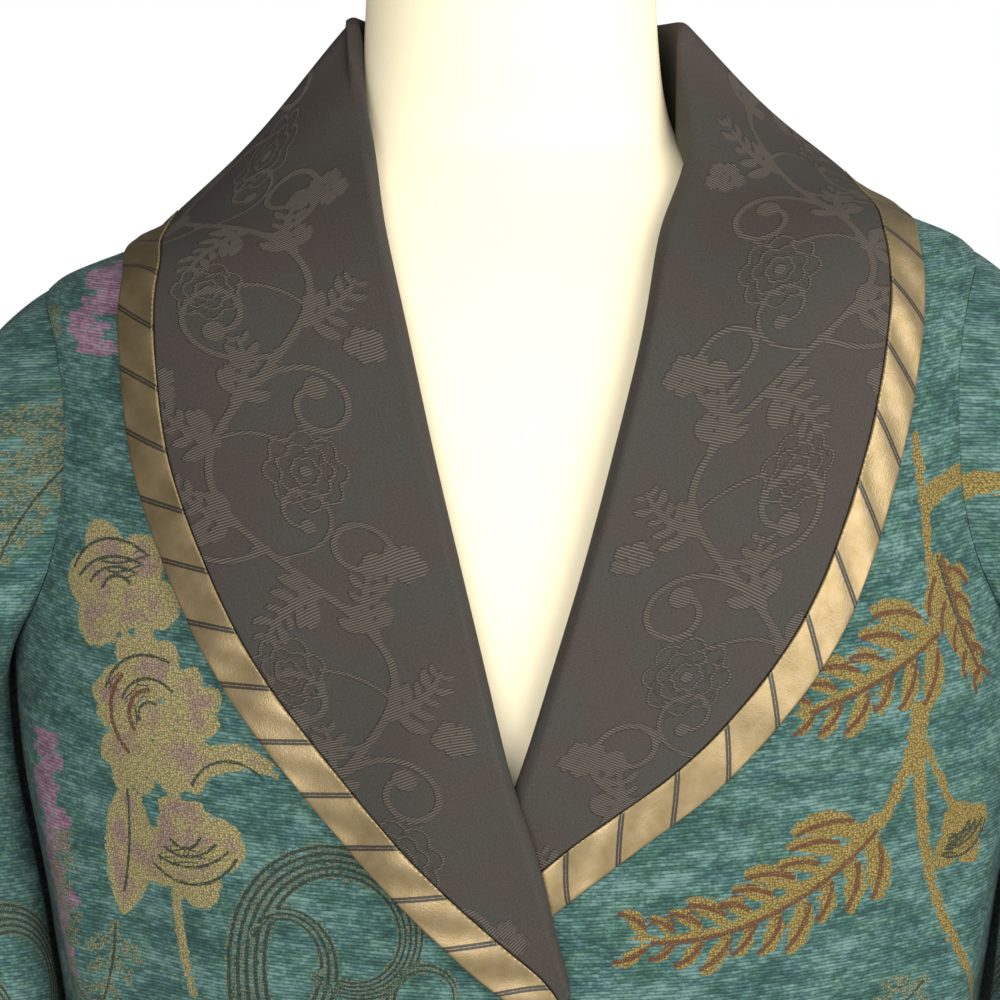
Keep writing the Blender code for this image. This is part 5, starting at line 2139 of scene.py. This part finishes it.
class Collar:
    """One half of the shawl collar, and the striped binding along its outer edge."""

    # Shares of the way up the stand where its points lie, closer at the seam
    STAND = (0, 0.02, 0.06, 0.14, 0.3, 0.92)

    def __init__(self, side: int, first_vine: float) -> None:
        """Keeps the half's side of the body, where its vine starts and its sizes.

        Args:
            side: the half's side.
            first_vine: where the vine's first repeat starts.
        """
        self.side, self.first_vine = side, first_vine
        self.sizes = CollarSizes()
        self.seam_line: Array = np.zeros((0, 3))

    def stations(self) -> Array:
        """Seam, rise, edge and uprightness of sections from the lapel's tip to the centre back.

        Returns:
            A row for each section.
        """
        lapel, neck = collar_rows(self.side)
        rows = []
        for row in lapel:
            seam = float(JACKET.angle_at(row.roll_out, row.roll_z))
            edge = float(JACKET.angle_at(row.edge_out, row.edge_z))
            rows.append((seam, row.roll_z, 0, 0, 0, edge, row.edge_z, 0))
        for row in neck:
            rise = (row.rise_out, row.rise_y, row.rise_z)
            upright = float(ramp(row.seam_z, self.sizes.stands_from_z, NECK_Z))
            edge = (math.radians(row.edge_deg), row.edge_z, upright)
            rows.append((math.radians(row.seam_deg), row.seam_z, *rise, *edge))
        table = np.array(rows, float)
        at = np.linspace(0, len(rows) - 1, self.sizes.stations)
        found = np.stack([smooth(at, np.arange(len(rows)), part) for part in table.T], axis=-1)
        on_front = at < len(lapel) + sum(row.seam_deg > 0 for row in neck) - 1
        heights = found[on_front, 1]
        found[on_front, 0] = JACKET.angle_at(front_edge_out(self.side, heights), heights)
        return found

    def sections(self) -> Array:
        """All sections: the stand or nose, the roll, the fall and the binding's band.

        Returns:
            A row of points for each section.
        """
        sizes = self.sizes
        seam_at, seam_z, out, y, rise, edge_at, edge_z, upright = self.stations().T
        seam, normal = JACKET.point(seam_at, seam_z), JACKET.normal(seam_at, seam_z)
        edge = JACKET.point(edge_at, edge_z)
        away = unit(np.cross(normal, np.gradient(seam, axis=0)))
        away = away * np.where(away[:, :1] * -1 + away[:, 2:] < 0, -1, 1)
        slant = np.cross(unit(np.gradient(edge, axis=0)), unit(edge - seam))
        widths = sizes.binding_width / np.maximum(np.linalg.norm(slant, axis=-1), sizes.least_slant)
        lap = JACKET.lap(seam[:, 0], seam_z) if self.side < 0 else np.zeros(len(seam))
        covered = np.zeros(len(seam)) if self.side < 0 else 1 - ramp(seam_z, *sizes.covered_z)
        roll_height = sizes.roll_height + (sizes.lapped_roll_height - sizes.roll_height) * covered
        base = seam.copy()
        base[:, 1] -= lap
        clear = COLLAR_WALL / 2 * (1 - upright / 2) + SEAM * sizes.seam_gaps
        start = base + away * clear[:, None] - normal * CLOTH / 2
        nose = (away * sizes.nose_reach + normal * sizes.nose_rise) * (1 - upright)[:, None]
        roll = eased(base + nose + np.stack([out, y, rise], axis=-1))
        share = np.linspace(0, 1, sizes.fall_samples)[1:]
        fall = roll[:, None] + (edge - roll)[:, None] * share[None, :, None]
        fall[..., 2] -= sizes.fall_sag * upright[:, None] * np.sin(math.pi * share) ** 2
        near = np.exp(-np.linalg.norm(fall - roll[:, None], axis=-1) / sizes.roll_fade)
        height = sizes.fall_height + (roll_height - sizes.fall_height)[:, None] * near
        if self.side < 0:
            height = height + JACKET.lap(fall[..., 0], fall[..., 2])
        fall = JACKET.lay_on(fall, height)
        return eased(np.array([self.section(*part) for part in zip(start, roll, fall, eased(widths))]))

    def section(self, start: Array, roll: Array, fall: Array, width: float) -> Array:
        """One section, from the seam over the roll to the binding's edge.

        Args:
            start: the foot of the stand.
            roll: the top of the roll.
            fall: points from there to the outer edge.
            width: the binding's width.

        Returns:
            The section's points.
        """
        sizes = self.sizes
        radius = min(sizes.roll_radius, np.linalg.norm(roll - start) * sizes.largest_radius_share)
        below = roll + unit(start - roll) * radius
        beyond = along(np.concatenate([[roll], fall]), np.array([sizes.roll_radius]))[0]
        stand = start + (below - start) * np.array(self.STAND)[:, None]
        bend = np.linspace(0, 1, sizes.roll_columns)[:, None]
        arc = (1 - bend) ** 2 * below + 2 * bend * (1 - bend) * roll + bend**2 * beyond
        off = np.linalg.norm(fall - roll, axis=-1) > sizes.roll_radius
        rest = np.concatenate([[beyond], fall[off]])
        length = lengths(rest)[-1]
        band = min(width, length * sizes.largest_band_share)
        inside = np.linspace(0, length - band - sizes.last_row, sizes.fall_columns)[1:]
        fall_at = np.concatenate([inside, length - band - np.array([*EDGE_TAIL[::-1], 0])])
        edge = np.array([0, *EDGE_TAIL])
        first, last = band * sizes.band_inset, band * (1 - sizes.band_inset)
        middle = np.linspace(first, last, sizes.binding_columns - 2 * len(edge))
        band_at = np.concatenate([edge, middle, band - edge[::-1]]) * (1 - SEAM / band) + SEAM
        return np.concatenate([stand, arc, along(rest, fall_at), along(rest, length - band + band_at)])

    def walls(self) -> tuple[Wall, Wall]:
        """The collar's cloth and the binding's.

        Returns:
            The two walls.
        """
        sizes = self.sizes
        grid = self.sections()
        normals = unit(np.cross(np.gradient(grid, axis=0), np.gradient(grid, axis=1)))
        normals = normals * np.sign(np.sum(normals[:, -1] * (grid[:, -1] - grid[:, -1].mean(axis=0))))
        normals[-1, :, 0] = 0
        normals[-1] = unit(normals[-1])
        grid[-1, :, 0] = SEAM / 2
        split = grid.shape[1] - sizes.binding_columns
        collar = self._wall(grid[:, :split], normals[:, :split], COLLAR_WALL)
        run = lengths(grid[:, :split], 1)
        roll_at = len(self.STAND) + sizes.roll_columns // 2
        collar.up = run - run[:, roll_at : roll_at + 1]
        collar.across = lengths(grid[:, split * 3 // 5, None]) + np.zeros_like(collar.up)

        band, band_normals = grid[:, split:], normals[:, split:]
        offset = band - band[:, :1]
        ahead = np.sum(offset * unit(np.gradient(band[:, :1], axis=0)), axis=-1)
        run = lengths(band[:, 0])[:, None] + ahead
        out = np.sqrt(np.maximum(np.sum(offset * offset, axis=-1) - ahead**2, 0))
        stripe = run + self.side * out * sizes.slant
        share = np.clip(out / sizes.binding_width, 0, 1)
        # The bias strip is eased on, so it lifts a little between its stripes
        wave = np.sin(2 * math.pi * stripe / sizes.pucker_pitch)
        wave = wave + 0.5 * np.sin(2 * math.pi * run / sizes.second_pitch)
        band = band + band_normals * (sizes.pucker * wave * np.sin(math.pi * share) ** 0.7)[..., None]
        binding = self._wall(band, band_normals, BINDING_WALL)
        binding.across, binding.up = run, out
        binding.marks["stripe"] = stripe
        lift = band_normals * BINDING_WALL * sizes.stitch_lift
        self.seam_line = JACKET.settle(on_side((band + lift)[:, sizes.stitch_column], self.side))
        return collar, binding

    def _wall(self, grid: Array, normals: Array, thick: float) -> Wall:
        """A wall of a thickness centred on a grid.

        Args:
            grid: the wall's middle.
            normals: its outward directions.
            thick: its thickness.

        Returns:
            The wall.
        """
        shift = normals * thick / 2
        outer = JACKET.settle(on_side(grid + shift, self.side))
        inner = JACKET.settle(on_side(grid - shift, self.side))
        blank = np.zeros(grid.shape[:2])
        return Wall(outer, inner, blank, blank)

    def dress(self, finishes: Finishes) -> None:
        """Builds the collar half, its binding and the edge stitches between them.

        Args:
            finishes: the materials.
        """
        collar, binding = self.walls()
        starts = self.first_vine + VINE_REPEAT * np.arange(-1, 5)
        mark_yarns(collar, [Place(VINE_SPRAY, start, 0.0) for start in starts], (Yarn.VINE,))
        CollarCloth("collar", "damask", self.side).show(collar, finishes.damask)
        CollarCloth("binding", "gold_stripe", self.side).show(binding, finishes.taffeta)
        run = StitchRun(
            f"edge_stitches_{hand(self.side)}", spacing=0.0027, length=0.0019, thickness=0.00055
        )
        stitches = run.build(self.seam_line[2:-2], finishes.gold_thread)
        finish_piece(stitches, finishes.gold_thread, "gold_stripe")


# Sewing


@dataclass
class StitchRun:
    """A run of stitches along a path, made with Geometry Nodes."""

    name: str
    spacing: float
    length: float
    thickness: float

    def tree(self, material: bpy.types.Material) -> tuple[bpy.types.NodeTree, dict[str, str]]:
        """The node tree that lays stitches on a path.

        Args:
            material: the thread.

        Returns:
            The tree, and the identifiers of its named inputs.
        """
        group = bpy.data.node_groups.new(f"{self.name} stitches", "GeometryNodeTree")
        face = group.interface
        face.new_socket("Path", in_out="INPUT", socket_type="NodeSocketGeometry")
        keys = {}
        for label in ("Spacing", "Length", "Thickness"):
            socket = face.new_socket(label, in_out="INPUT", socket_type="NodeSocketFloat")
            keys[label] = socket.identifier
        face.new_socket("Stitches", in_out="OUTPUT", socket_type="NodeSocketGeometry")

        tree = Nodes(group)
        add = tree.add
        given = tree.nodes.new("NodeGroupInput").outputs
        curve = add("GeometryNodeMeshToCurve", {"Mesh": given["Path"]})
        evenly = {"Curve": curve, "Length": given["Spacing"]}
        spots = add("GeometryNodeResampleCurve", evenly, mode="LENGTH")
        bead = add("GeometryNodeMeshUVSphere", {"Segments": 6, "Rings": 4, "Radius": 0.5})
        thickness = given["Thickness"]
        size = add("CombineXYZ", {0: given["Length"], 1: thickness, 2: thickness})
        stitch = add("GeometryNodeTransform", {"Geometry": bead, "Scale": size})
        heading = add("GeometryNodeInputTangent")
        turn = add("FunctionNodeAlignRotationToVector", {"Vector": heading}, axis="X")
        laid = add("GeometryNodeInstanceOnPoints", {"Points": spots, "Instance": stitch, "Rotation": turn})
        solid = add("GeometryNodeRealizeInstances", {0: laid})
        soft = add("GeometryNodeSetShadeSmooth", {0: solid})
        thread = add("GeometryNodeSetMaterial", {0: soft, "Material": material})
        tree.feed(tree.nodes.new("NodeGroupOutput"), {0: thread})
        return group, keys

    def build(self, path: Array, material: bpy.types.Material, closed: bool = False) -> bpy.types.Object:
        """Stitches along a path as a plain mesh.

        Args:
            path: the points that the run follows.
            material: the thread.
            closed: whether the path joins up.

        Returns:
            The piece.
        """
        mesh = bpy.data.meshes.new(self.name)
        count = len(path)
        edges = [(k, (k + 1) % count) for k in range(count if closed else count - 1)]
        mesh.from_pydata(path.tolist(), edges, [])
        line = new_piece(f"{self.name}_path", mesh)
        group, keys = self.tree(material)
        modifier = line.modifiers.new("Stitches", "NODES")
        modifier.node_group = group
        for label, value in (
            ("Spacing", self.spacing), ("Length", self.length), ("Thickness", self.thickness)
        ):
            modifier[keys[label]] = value
        ready = line.evaluated_get(bpy.context.evaluated_depsgraph_get())
        made = bpy.data.meshes.new_from_object(ready)
        bpy.data.objects.remove(line)
        made.name = self.name
        return new_piece(self.name, made)


@dataclass
class Fastening:
    """The button at the waist, its thread and its worked buttonhole."""

    # Shares of the radius and of half the thickness, from the middle of the back to that of the dished face
    OUTLINE = (
        (0.00, -1.0), (0.40, -1.0), (0.86, -0.95), (0.96, -0.55), (1.00, 0.05), (0.94, 0.72),
        (0.86, 0.96), (0.78, 0.98), (0.70, 0.80), (0.60, 0.52), (0.30, 0.44), (0.00, 0.42),
    )

    height: float = 0.425
    radius: float = 0.0115
    thickness: float = 0.0042
    turns: int = 64
    thread_out: float = 0.00182
    thread_share: float = 0.44
    thread_lift: float = 0.0001
    thread_rise: float = 0.0004
    slot_x: float = -0.011
    slot_half: float = 0.0125
    slot_high: float = 0.0016
    cord_lift: float = 0.0003

    def seat(self) -> tuple[Vector, float]:
        """Where the button's middle lies, and how far it tilts back with the cloth.

        Returns:
            The place, and the tilt in radians.
        """
        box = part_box("button")
        low, high = np.array(box[0]), np.array(box[1])
        middle = Vector(((low + high) / 2).tolist())
        below, above = (
            JACKET.lap(0, z) - JACKET.point(math.pi / 2, z)[1]
            for z in (self.height - self.radius, self.height + self.radius)
        )
        return middle, math.atan2(float(below - above), 2 * self.radius)

    def button(self, finishes: Finishes) -> None:
        """Builds the turned button and the crossed thread on its dished face.

        Args:
            finishes: the materials.
        """
        half = self.thickness / 2
        outline = [(out * self.radius, rise * half) for out, rise in self.OUTLINE]
        mesh = turned("button", outline, self.turns)
        middle, tilt = self.seat()
        place = Matrix.Translation(middle) @ Matrix.Rotation(math.pi / 2 - tilt, 4, "X")
        mesh.transform(place)
        finish_piece(new_piece("turned_button", mesh), finishes.horn, "horn", "button")
        for name, slope in (("button_thread_a", 1), ("button_thread_b", -1)):
            spots = []
            for t in np.linspace(0, 1, 9):
                out = (2 * t - 1) * self.thread_out
                lift = half * self.thread_share + self.thread_rise * math.sin(math.pi * t) + self.thread_lift
                spots.append(list(place @ Vector((out, slope * out, lift))))
            run = StitchRun(name, spacing=0.0006, length=0.0012, thickness=0.0008)
            piece = run.build(np.array(spots), finishes.dark_thread)
            finish_piece(piece, finishes.dark_thread, "horn")

    def buttonhole(self, finishes: Finishes) -> None:
        """Builds the corded edge of the buttonhole on the right front.

        Args:
            finishes: the materials.
        """
        turn = np.linspace(0, 2 * math.pi, 80, endpoint=False)
        x = self.slot_x + self.slot_half * signed_power(np.cos(turn), 0.6)
        z = self.height + self.slot_high * signed_power(np.sin(turn), 0.8)
        front = JACKET.point(JACKET.angle_at(x, z), z)
        y = front[:, 1] - JACKET.lap(np.abs(x), z) - self.cord_lift
        run = StitchRun("buttonhole_stitches", spacing=0.0009, length=0.0011, thickness=0.0012)
        path = np.stack([x, y, z], axis=-1)
        finish_piece(run.build(path, finishes.dark_thread, True), finishes.dark_thread, "tapestry")

    def dress(self, finishes: Finishes) -> None:
        """Builds the button and the buttonhole."""
        self.button(finishes)
        self.buttonhole(finishes)


# Dress form


@dataclass
class DressForm:
    """The limbless form: torso with neck, on a short pole and a round foot."""

    bottom: float = 0.1353
    neck_bottom: float = 0.842
    neck_top: float = 0.940
    crown: float = 0.006
    crown_draw_in: float = 0.35
    columns: int = 112
    hip_rows: int = 48
    armhole_rows: int = 20
    shoulder_rows: int = 30
    neck_rows: int = 26
    crown_rows: int = 8
    rim_sharp_deg: float = 50
    pole_radius: float = 0.0125
    pole_turns: int = 64
    foot_radius: float = 0.150
    foot_thickness: float = 0.008
    foot_round: float = 0.002
    foot_chamfer: float = 0.0008
    foot_turns: int = 160
    steel_sharp_deg: float = 40

    def ring(self, height: float) -> Array:
        """One section, inside the jacket's face by the form's insets.

        Args:
            height: the section's height.

        Returns:
            The points.
        """
        angle = np.linspace(0, 2 * math.pi, self.columns, endpoint=False)
        angle = (angle + math.pi) % (2 * math.pi) - math.pi
        ridge = column(FORM_INSETS, "ridge", height)
        facing = np.where(
            angle > 0, column(FORM_INSETS, "front", height), column(FORM_INSETS, "back", height)
        )
        inset = ridge + (facing - ridge) * np.abs(np.sin(angle))
        far = np.abs(angle) > math.pi / 2
        own = np.where(far, np.sign(angle) * math.pi - angle, angle)
        points = JACKET.point(own, height) - JACKET.normal(own, height) * inset[:, None]
        points[:, 0] *= np.where(far, -1, 1)
        return points

    def body(self) -> bpy.types.Mesh:
        """The torso and neck, closed at the hip and by a low crown at the neck.

        Returns:
            The mesh.
        """
        hip = np.linspace(self.bottom, LAST_PLAIN_Z, self.hip_rows)
        shoulder = np.linspace(SHOULDER_TIP_Z, NECK_Z, self.shoulder_rows)[1:]
        neck = np.linspace(self.neck_bottom, self.neck_top, self.neck_rows)
        heights = np.concatenate([hip, armhole_levels(self.armhole_rows), shoulder, neck])
        rings = [self.ring(height) for height in heights]
        top = rings[-1]
        rings[0][:, 2], top[:, 2] = self.bottom, self.neck_top
        centre = top.mean(axis=0)
        for t in np.linspace(0.1, 1, self.crown_rows):
            lift = np.array([0, 0, self.crown * math.sin(t * math.pi / 2)])
            rings.append(centre + (top - centre) * (1 - self.crown_draw_in * t**2) + lift)
        faces = ring_faces(len(rings), self.columns)
        faces.append(list(range(self.columns))[::-1])
        faces.append([(len(rings) - 1) * self.columns + col for col in range(self.columns)])
        mesh = bpy.data.meshes.new("form_body")
        mesh.from_pydata(np.concatenate(rings).tolist(), [], faces)
        volume = sum(face.center.dot(face.normal) * face.area for face in mesh.polygons)
        if volume < 0:
            mesh.flip_normals()
        mesh.shade_smooth()
        mesh.set_sharp_from_angle(angle=math.radians(self.rim_sharp_deg))
        return mesh

    def pole(self) -> bpy.types.Mesh:
        """The pole, just clear of the foot and the torso.

        Returns:
            The mesh.
        """
        r, low, high = self.pole_radius, self.foot_thickness + SEAM, self.bottom - SEAM
        outline = ((0, low), (r, low), (r, high), (0, high))
        return turned("pole", outline, self.pole_turns, self.steel_sharp_deg)

    def foot(self) -> bpy.types.Mesh:
        """The round foot, with a small chamfer below and a rounded upper edge.

        Returns:
            The mesh.
        """
        r, t, b, c = self.foot_radius, self.foot_thickness, self.foot_round, self.foot_chamfer
        outline = [(0.0, 0.0), (r - c, 0.0), (r, c), (r, t - b)]
        for a in np.linspace(0.2, math.pi / 2, 6):
            outline.append((r - b + b * math.cos(a), t - b + b * math.sin(a)))
        outline.append((0.0, outline[-1][1]))
        return turned("foot", outline, self.foot_turns, self.steel_sharp_deg)

    def dress(self, finishes: Finishes) -> None:
        """Builds the form, its pole and its foot.

        Args:
            finishes: the materials.
        """
        finish_piece(new_piece("form_torso", self.body()), finishes.jersey, "jersey", "form_body")
        finish_piece(new_piece("steel_pole", self.pole()), finishes.steel, "steel", "form_pole")
        finish_piece(new_piece("steel_foot", self.foot()), finishes.steel, "steel", "form_foot")


# Studio


class Room(Nodes):
    """The world's node tree: a white room, darker on the wearer's right, as the cloth sees it."""

    def __init__(self) -> None:
        """Starts the world with its background."""
        world = bpy.data.worlds.new("white room")
        bpy.context.scene.world = world
        world.use_nodes = True
        super().__init__(world.node_tree)
        self.shader = self.nodes["Background"]

    def build(self, bright_way: tuple[float, float, float], dim: float, bright: float) -> None:
        """Fades the room's light from one side to the other.

        Args:
            bright_way: the direction of the bright side.
            dim: strength of the light from the far side.
            bright: strength of the light from the bright side.
        """
        way = self.add("TexCoord", out="Generated")
        facing = self.add("VectorMath", {0: way, 1: bright_way}, "Value", operation="DOT_PRODUCT")
        glow = self.add("MapRange", {0: facing, 1: -0.8, 2: 0.8, 3: dim, 4: bright}, **SOFT)
        seen = self.add("LightPath", out="Is Camera Ray")
        strength = self.add("Mix", {0: seen, 2: glow, 3: 1.0}, data_type="FLOAT")
        self.feed(self.shader, {0: linear("#ffffff"), 1: strength})


CHEST = (0, 0, 0.62)


@dataclass(frozen=True)
class Lamp:
    """A soft studio light: where it hangs, its width and its power."""

    name: str
    spot: tuple[float, float, float]
    width: float
    watts: float
    colour: str

    def build(self) -> None:
        """Hangs the light, turned to the chest."""
        light = bpy.data.lights.new(self.name, "AREA")
        light.size, light.energy, light.color = self.width, self.watts, linear(self.colour)[:3]
        holder = bpy.data.objects.new(self.name, light)
        holder.location = self.spot
        aim = Vector(CHEST) - Vector(self.spot)
        holder.rotation_euler = aim.to_track_quat("-Z", "Y").to_euler()
        holder.visible_camera = False
        bpy.context.scene.collection.objects.link(holder)


@dataclass
class Studio:
    """The pale floor, the soft light and the camera."""

    LAMPS = (
        Lamp("key_softbox", (1.7, -2.1, 1.5), 1.9, 55.0, "#fffaf2"),
        Lamp("front_softbox", (-0.5, -2.7, 0.75), 1.2, 34.0, "#fffcf8"),
    )

    floor_reach: float = 6.0
    lens_mm: float = 140
    sensor_mm: float = 36
    camera_spot: tuple[float, float, float] = (-0.0049, -1.73, 0.678)

    def floor(self) -> None:
        """Lays a plain pale floor."""
        reach = self.floor_reach
        corners = [(-reach, -reach, 0), (reach, -reach, 0), (reach, reach, 0), (-reach, reach, 0)]
        mesh = bpy.data.meshes.new("floor")
        mesh.from_pydata(corners, [], [(0, 1, 2, 3)])
        tree = Tree("matt studio floor, painted")
        tree.feed(tree.shader, {"Base Color": linear("#f4f3f1"), "Roughness": 0.9})
        mesh.materials.append(tree.material)
        new_piece("studio_floor", mesh)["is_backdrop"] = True

    def camera(self) -> None:
        """Sets up a long lens level with the chest, close on the collar."""
        lens = bpy.data.cameras.new("portrait lens")
        lens.lens, lens.sensor_width = self.lens_mm, self.sensor_mm
        camera = bpy.data.objects.new("camera", lens)
        camera.location = self.camera_spot
        camera.rotation_euler = (math.pi / 2, 0, 0)
        bpy.context.scene.collection.objects.link(camera)
        bpy.context.scene.camera = camera
        bpy.context.scene.view_settings.view_transform = "Standard"

    def build(self) -> None:
        """Sets up the studio."""
        self.floor()
        Room().build(bright_way=(0.75, -0.60, -0.20), dim=0.084, bright=0.87)
        for lamp in self.LAMPS:
            lamp.build()
        self.camera()


def main() -> None:
    """Builds every piece in order and reports each."""
    logging.basicConfig(level=logging.INFO, format="%(name)s %(message)s")
    finishes = Finishes(
        chenille=Chenille().build(),
        damask=Damask().build(),
        taffeta=Taffeta().build(),
        jersey=Jersey().build(),
        steel=Steel().build(),
        horn=Horn().build(),
        gold_thread=Thread("#8a7750").build(),
        dark_thread=Thread("#26221d").build(),
    )
    Front(RIGHT, RIGHT_PLACES).dress(finishes)
    Front(LEFT, LEFT_PLACES).dress(finishes)
    Back(BACK_PLACES).dress(finishes)
    for side, first_vine, places in ((RIGHT, 0.030, RIGHT_ARM_PLACES), (LEFT, 0.105, LEFT_ARM_PLACES)):
        Sleeve(side, places).dress(finishes)
        Collar(side, first_vine).dress(finishes)
    Fastening().dress(finishes)
    DressForm().dress(finishes)
    Studio().build()
    boxes = {"cad": CAD_BOX, "final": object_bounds()}
    sizes = {name: [[float(x) for x in corner] for corner in box] for name, box in boxes.items()}
    LOG.info("boxes: %s", sizes)


if __name__ == "__main__":
    main()
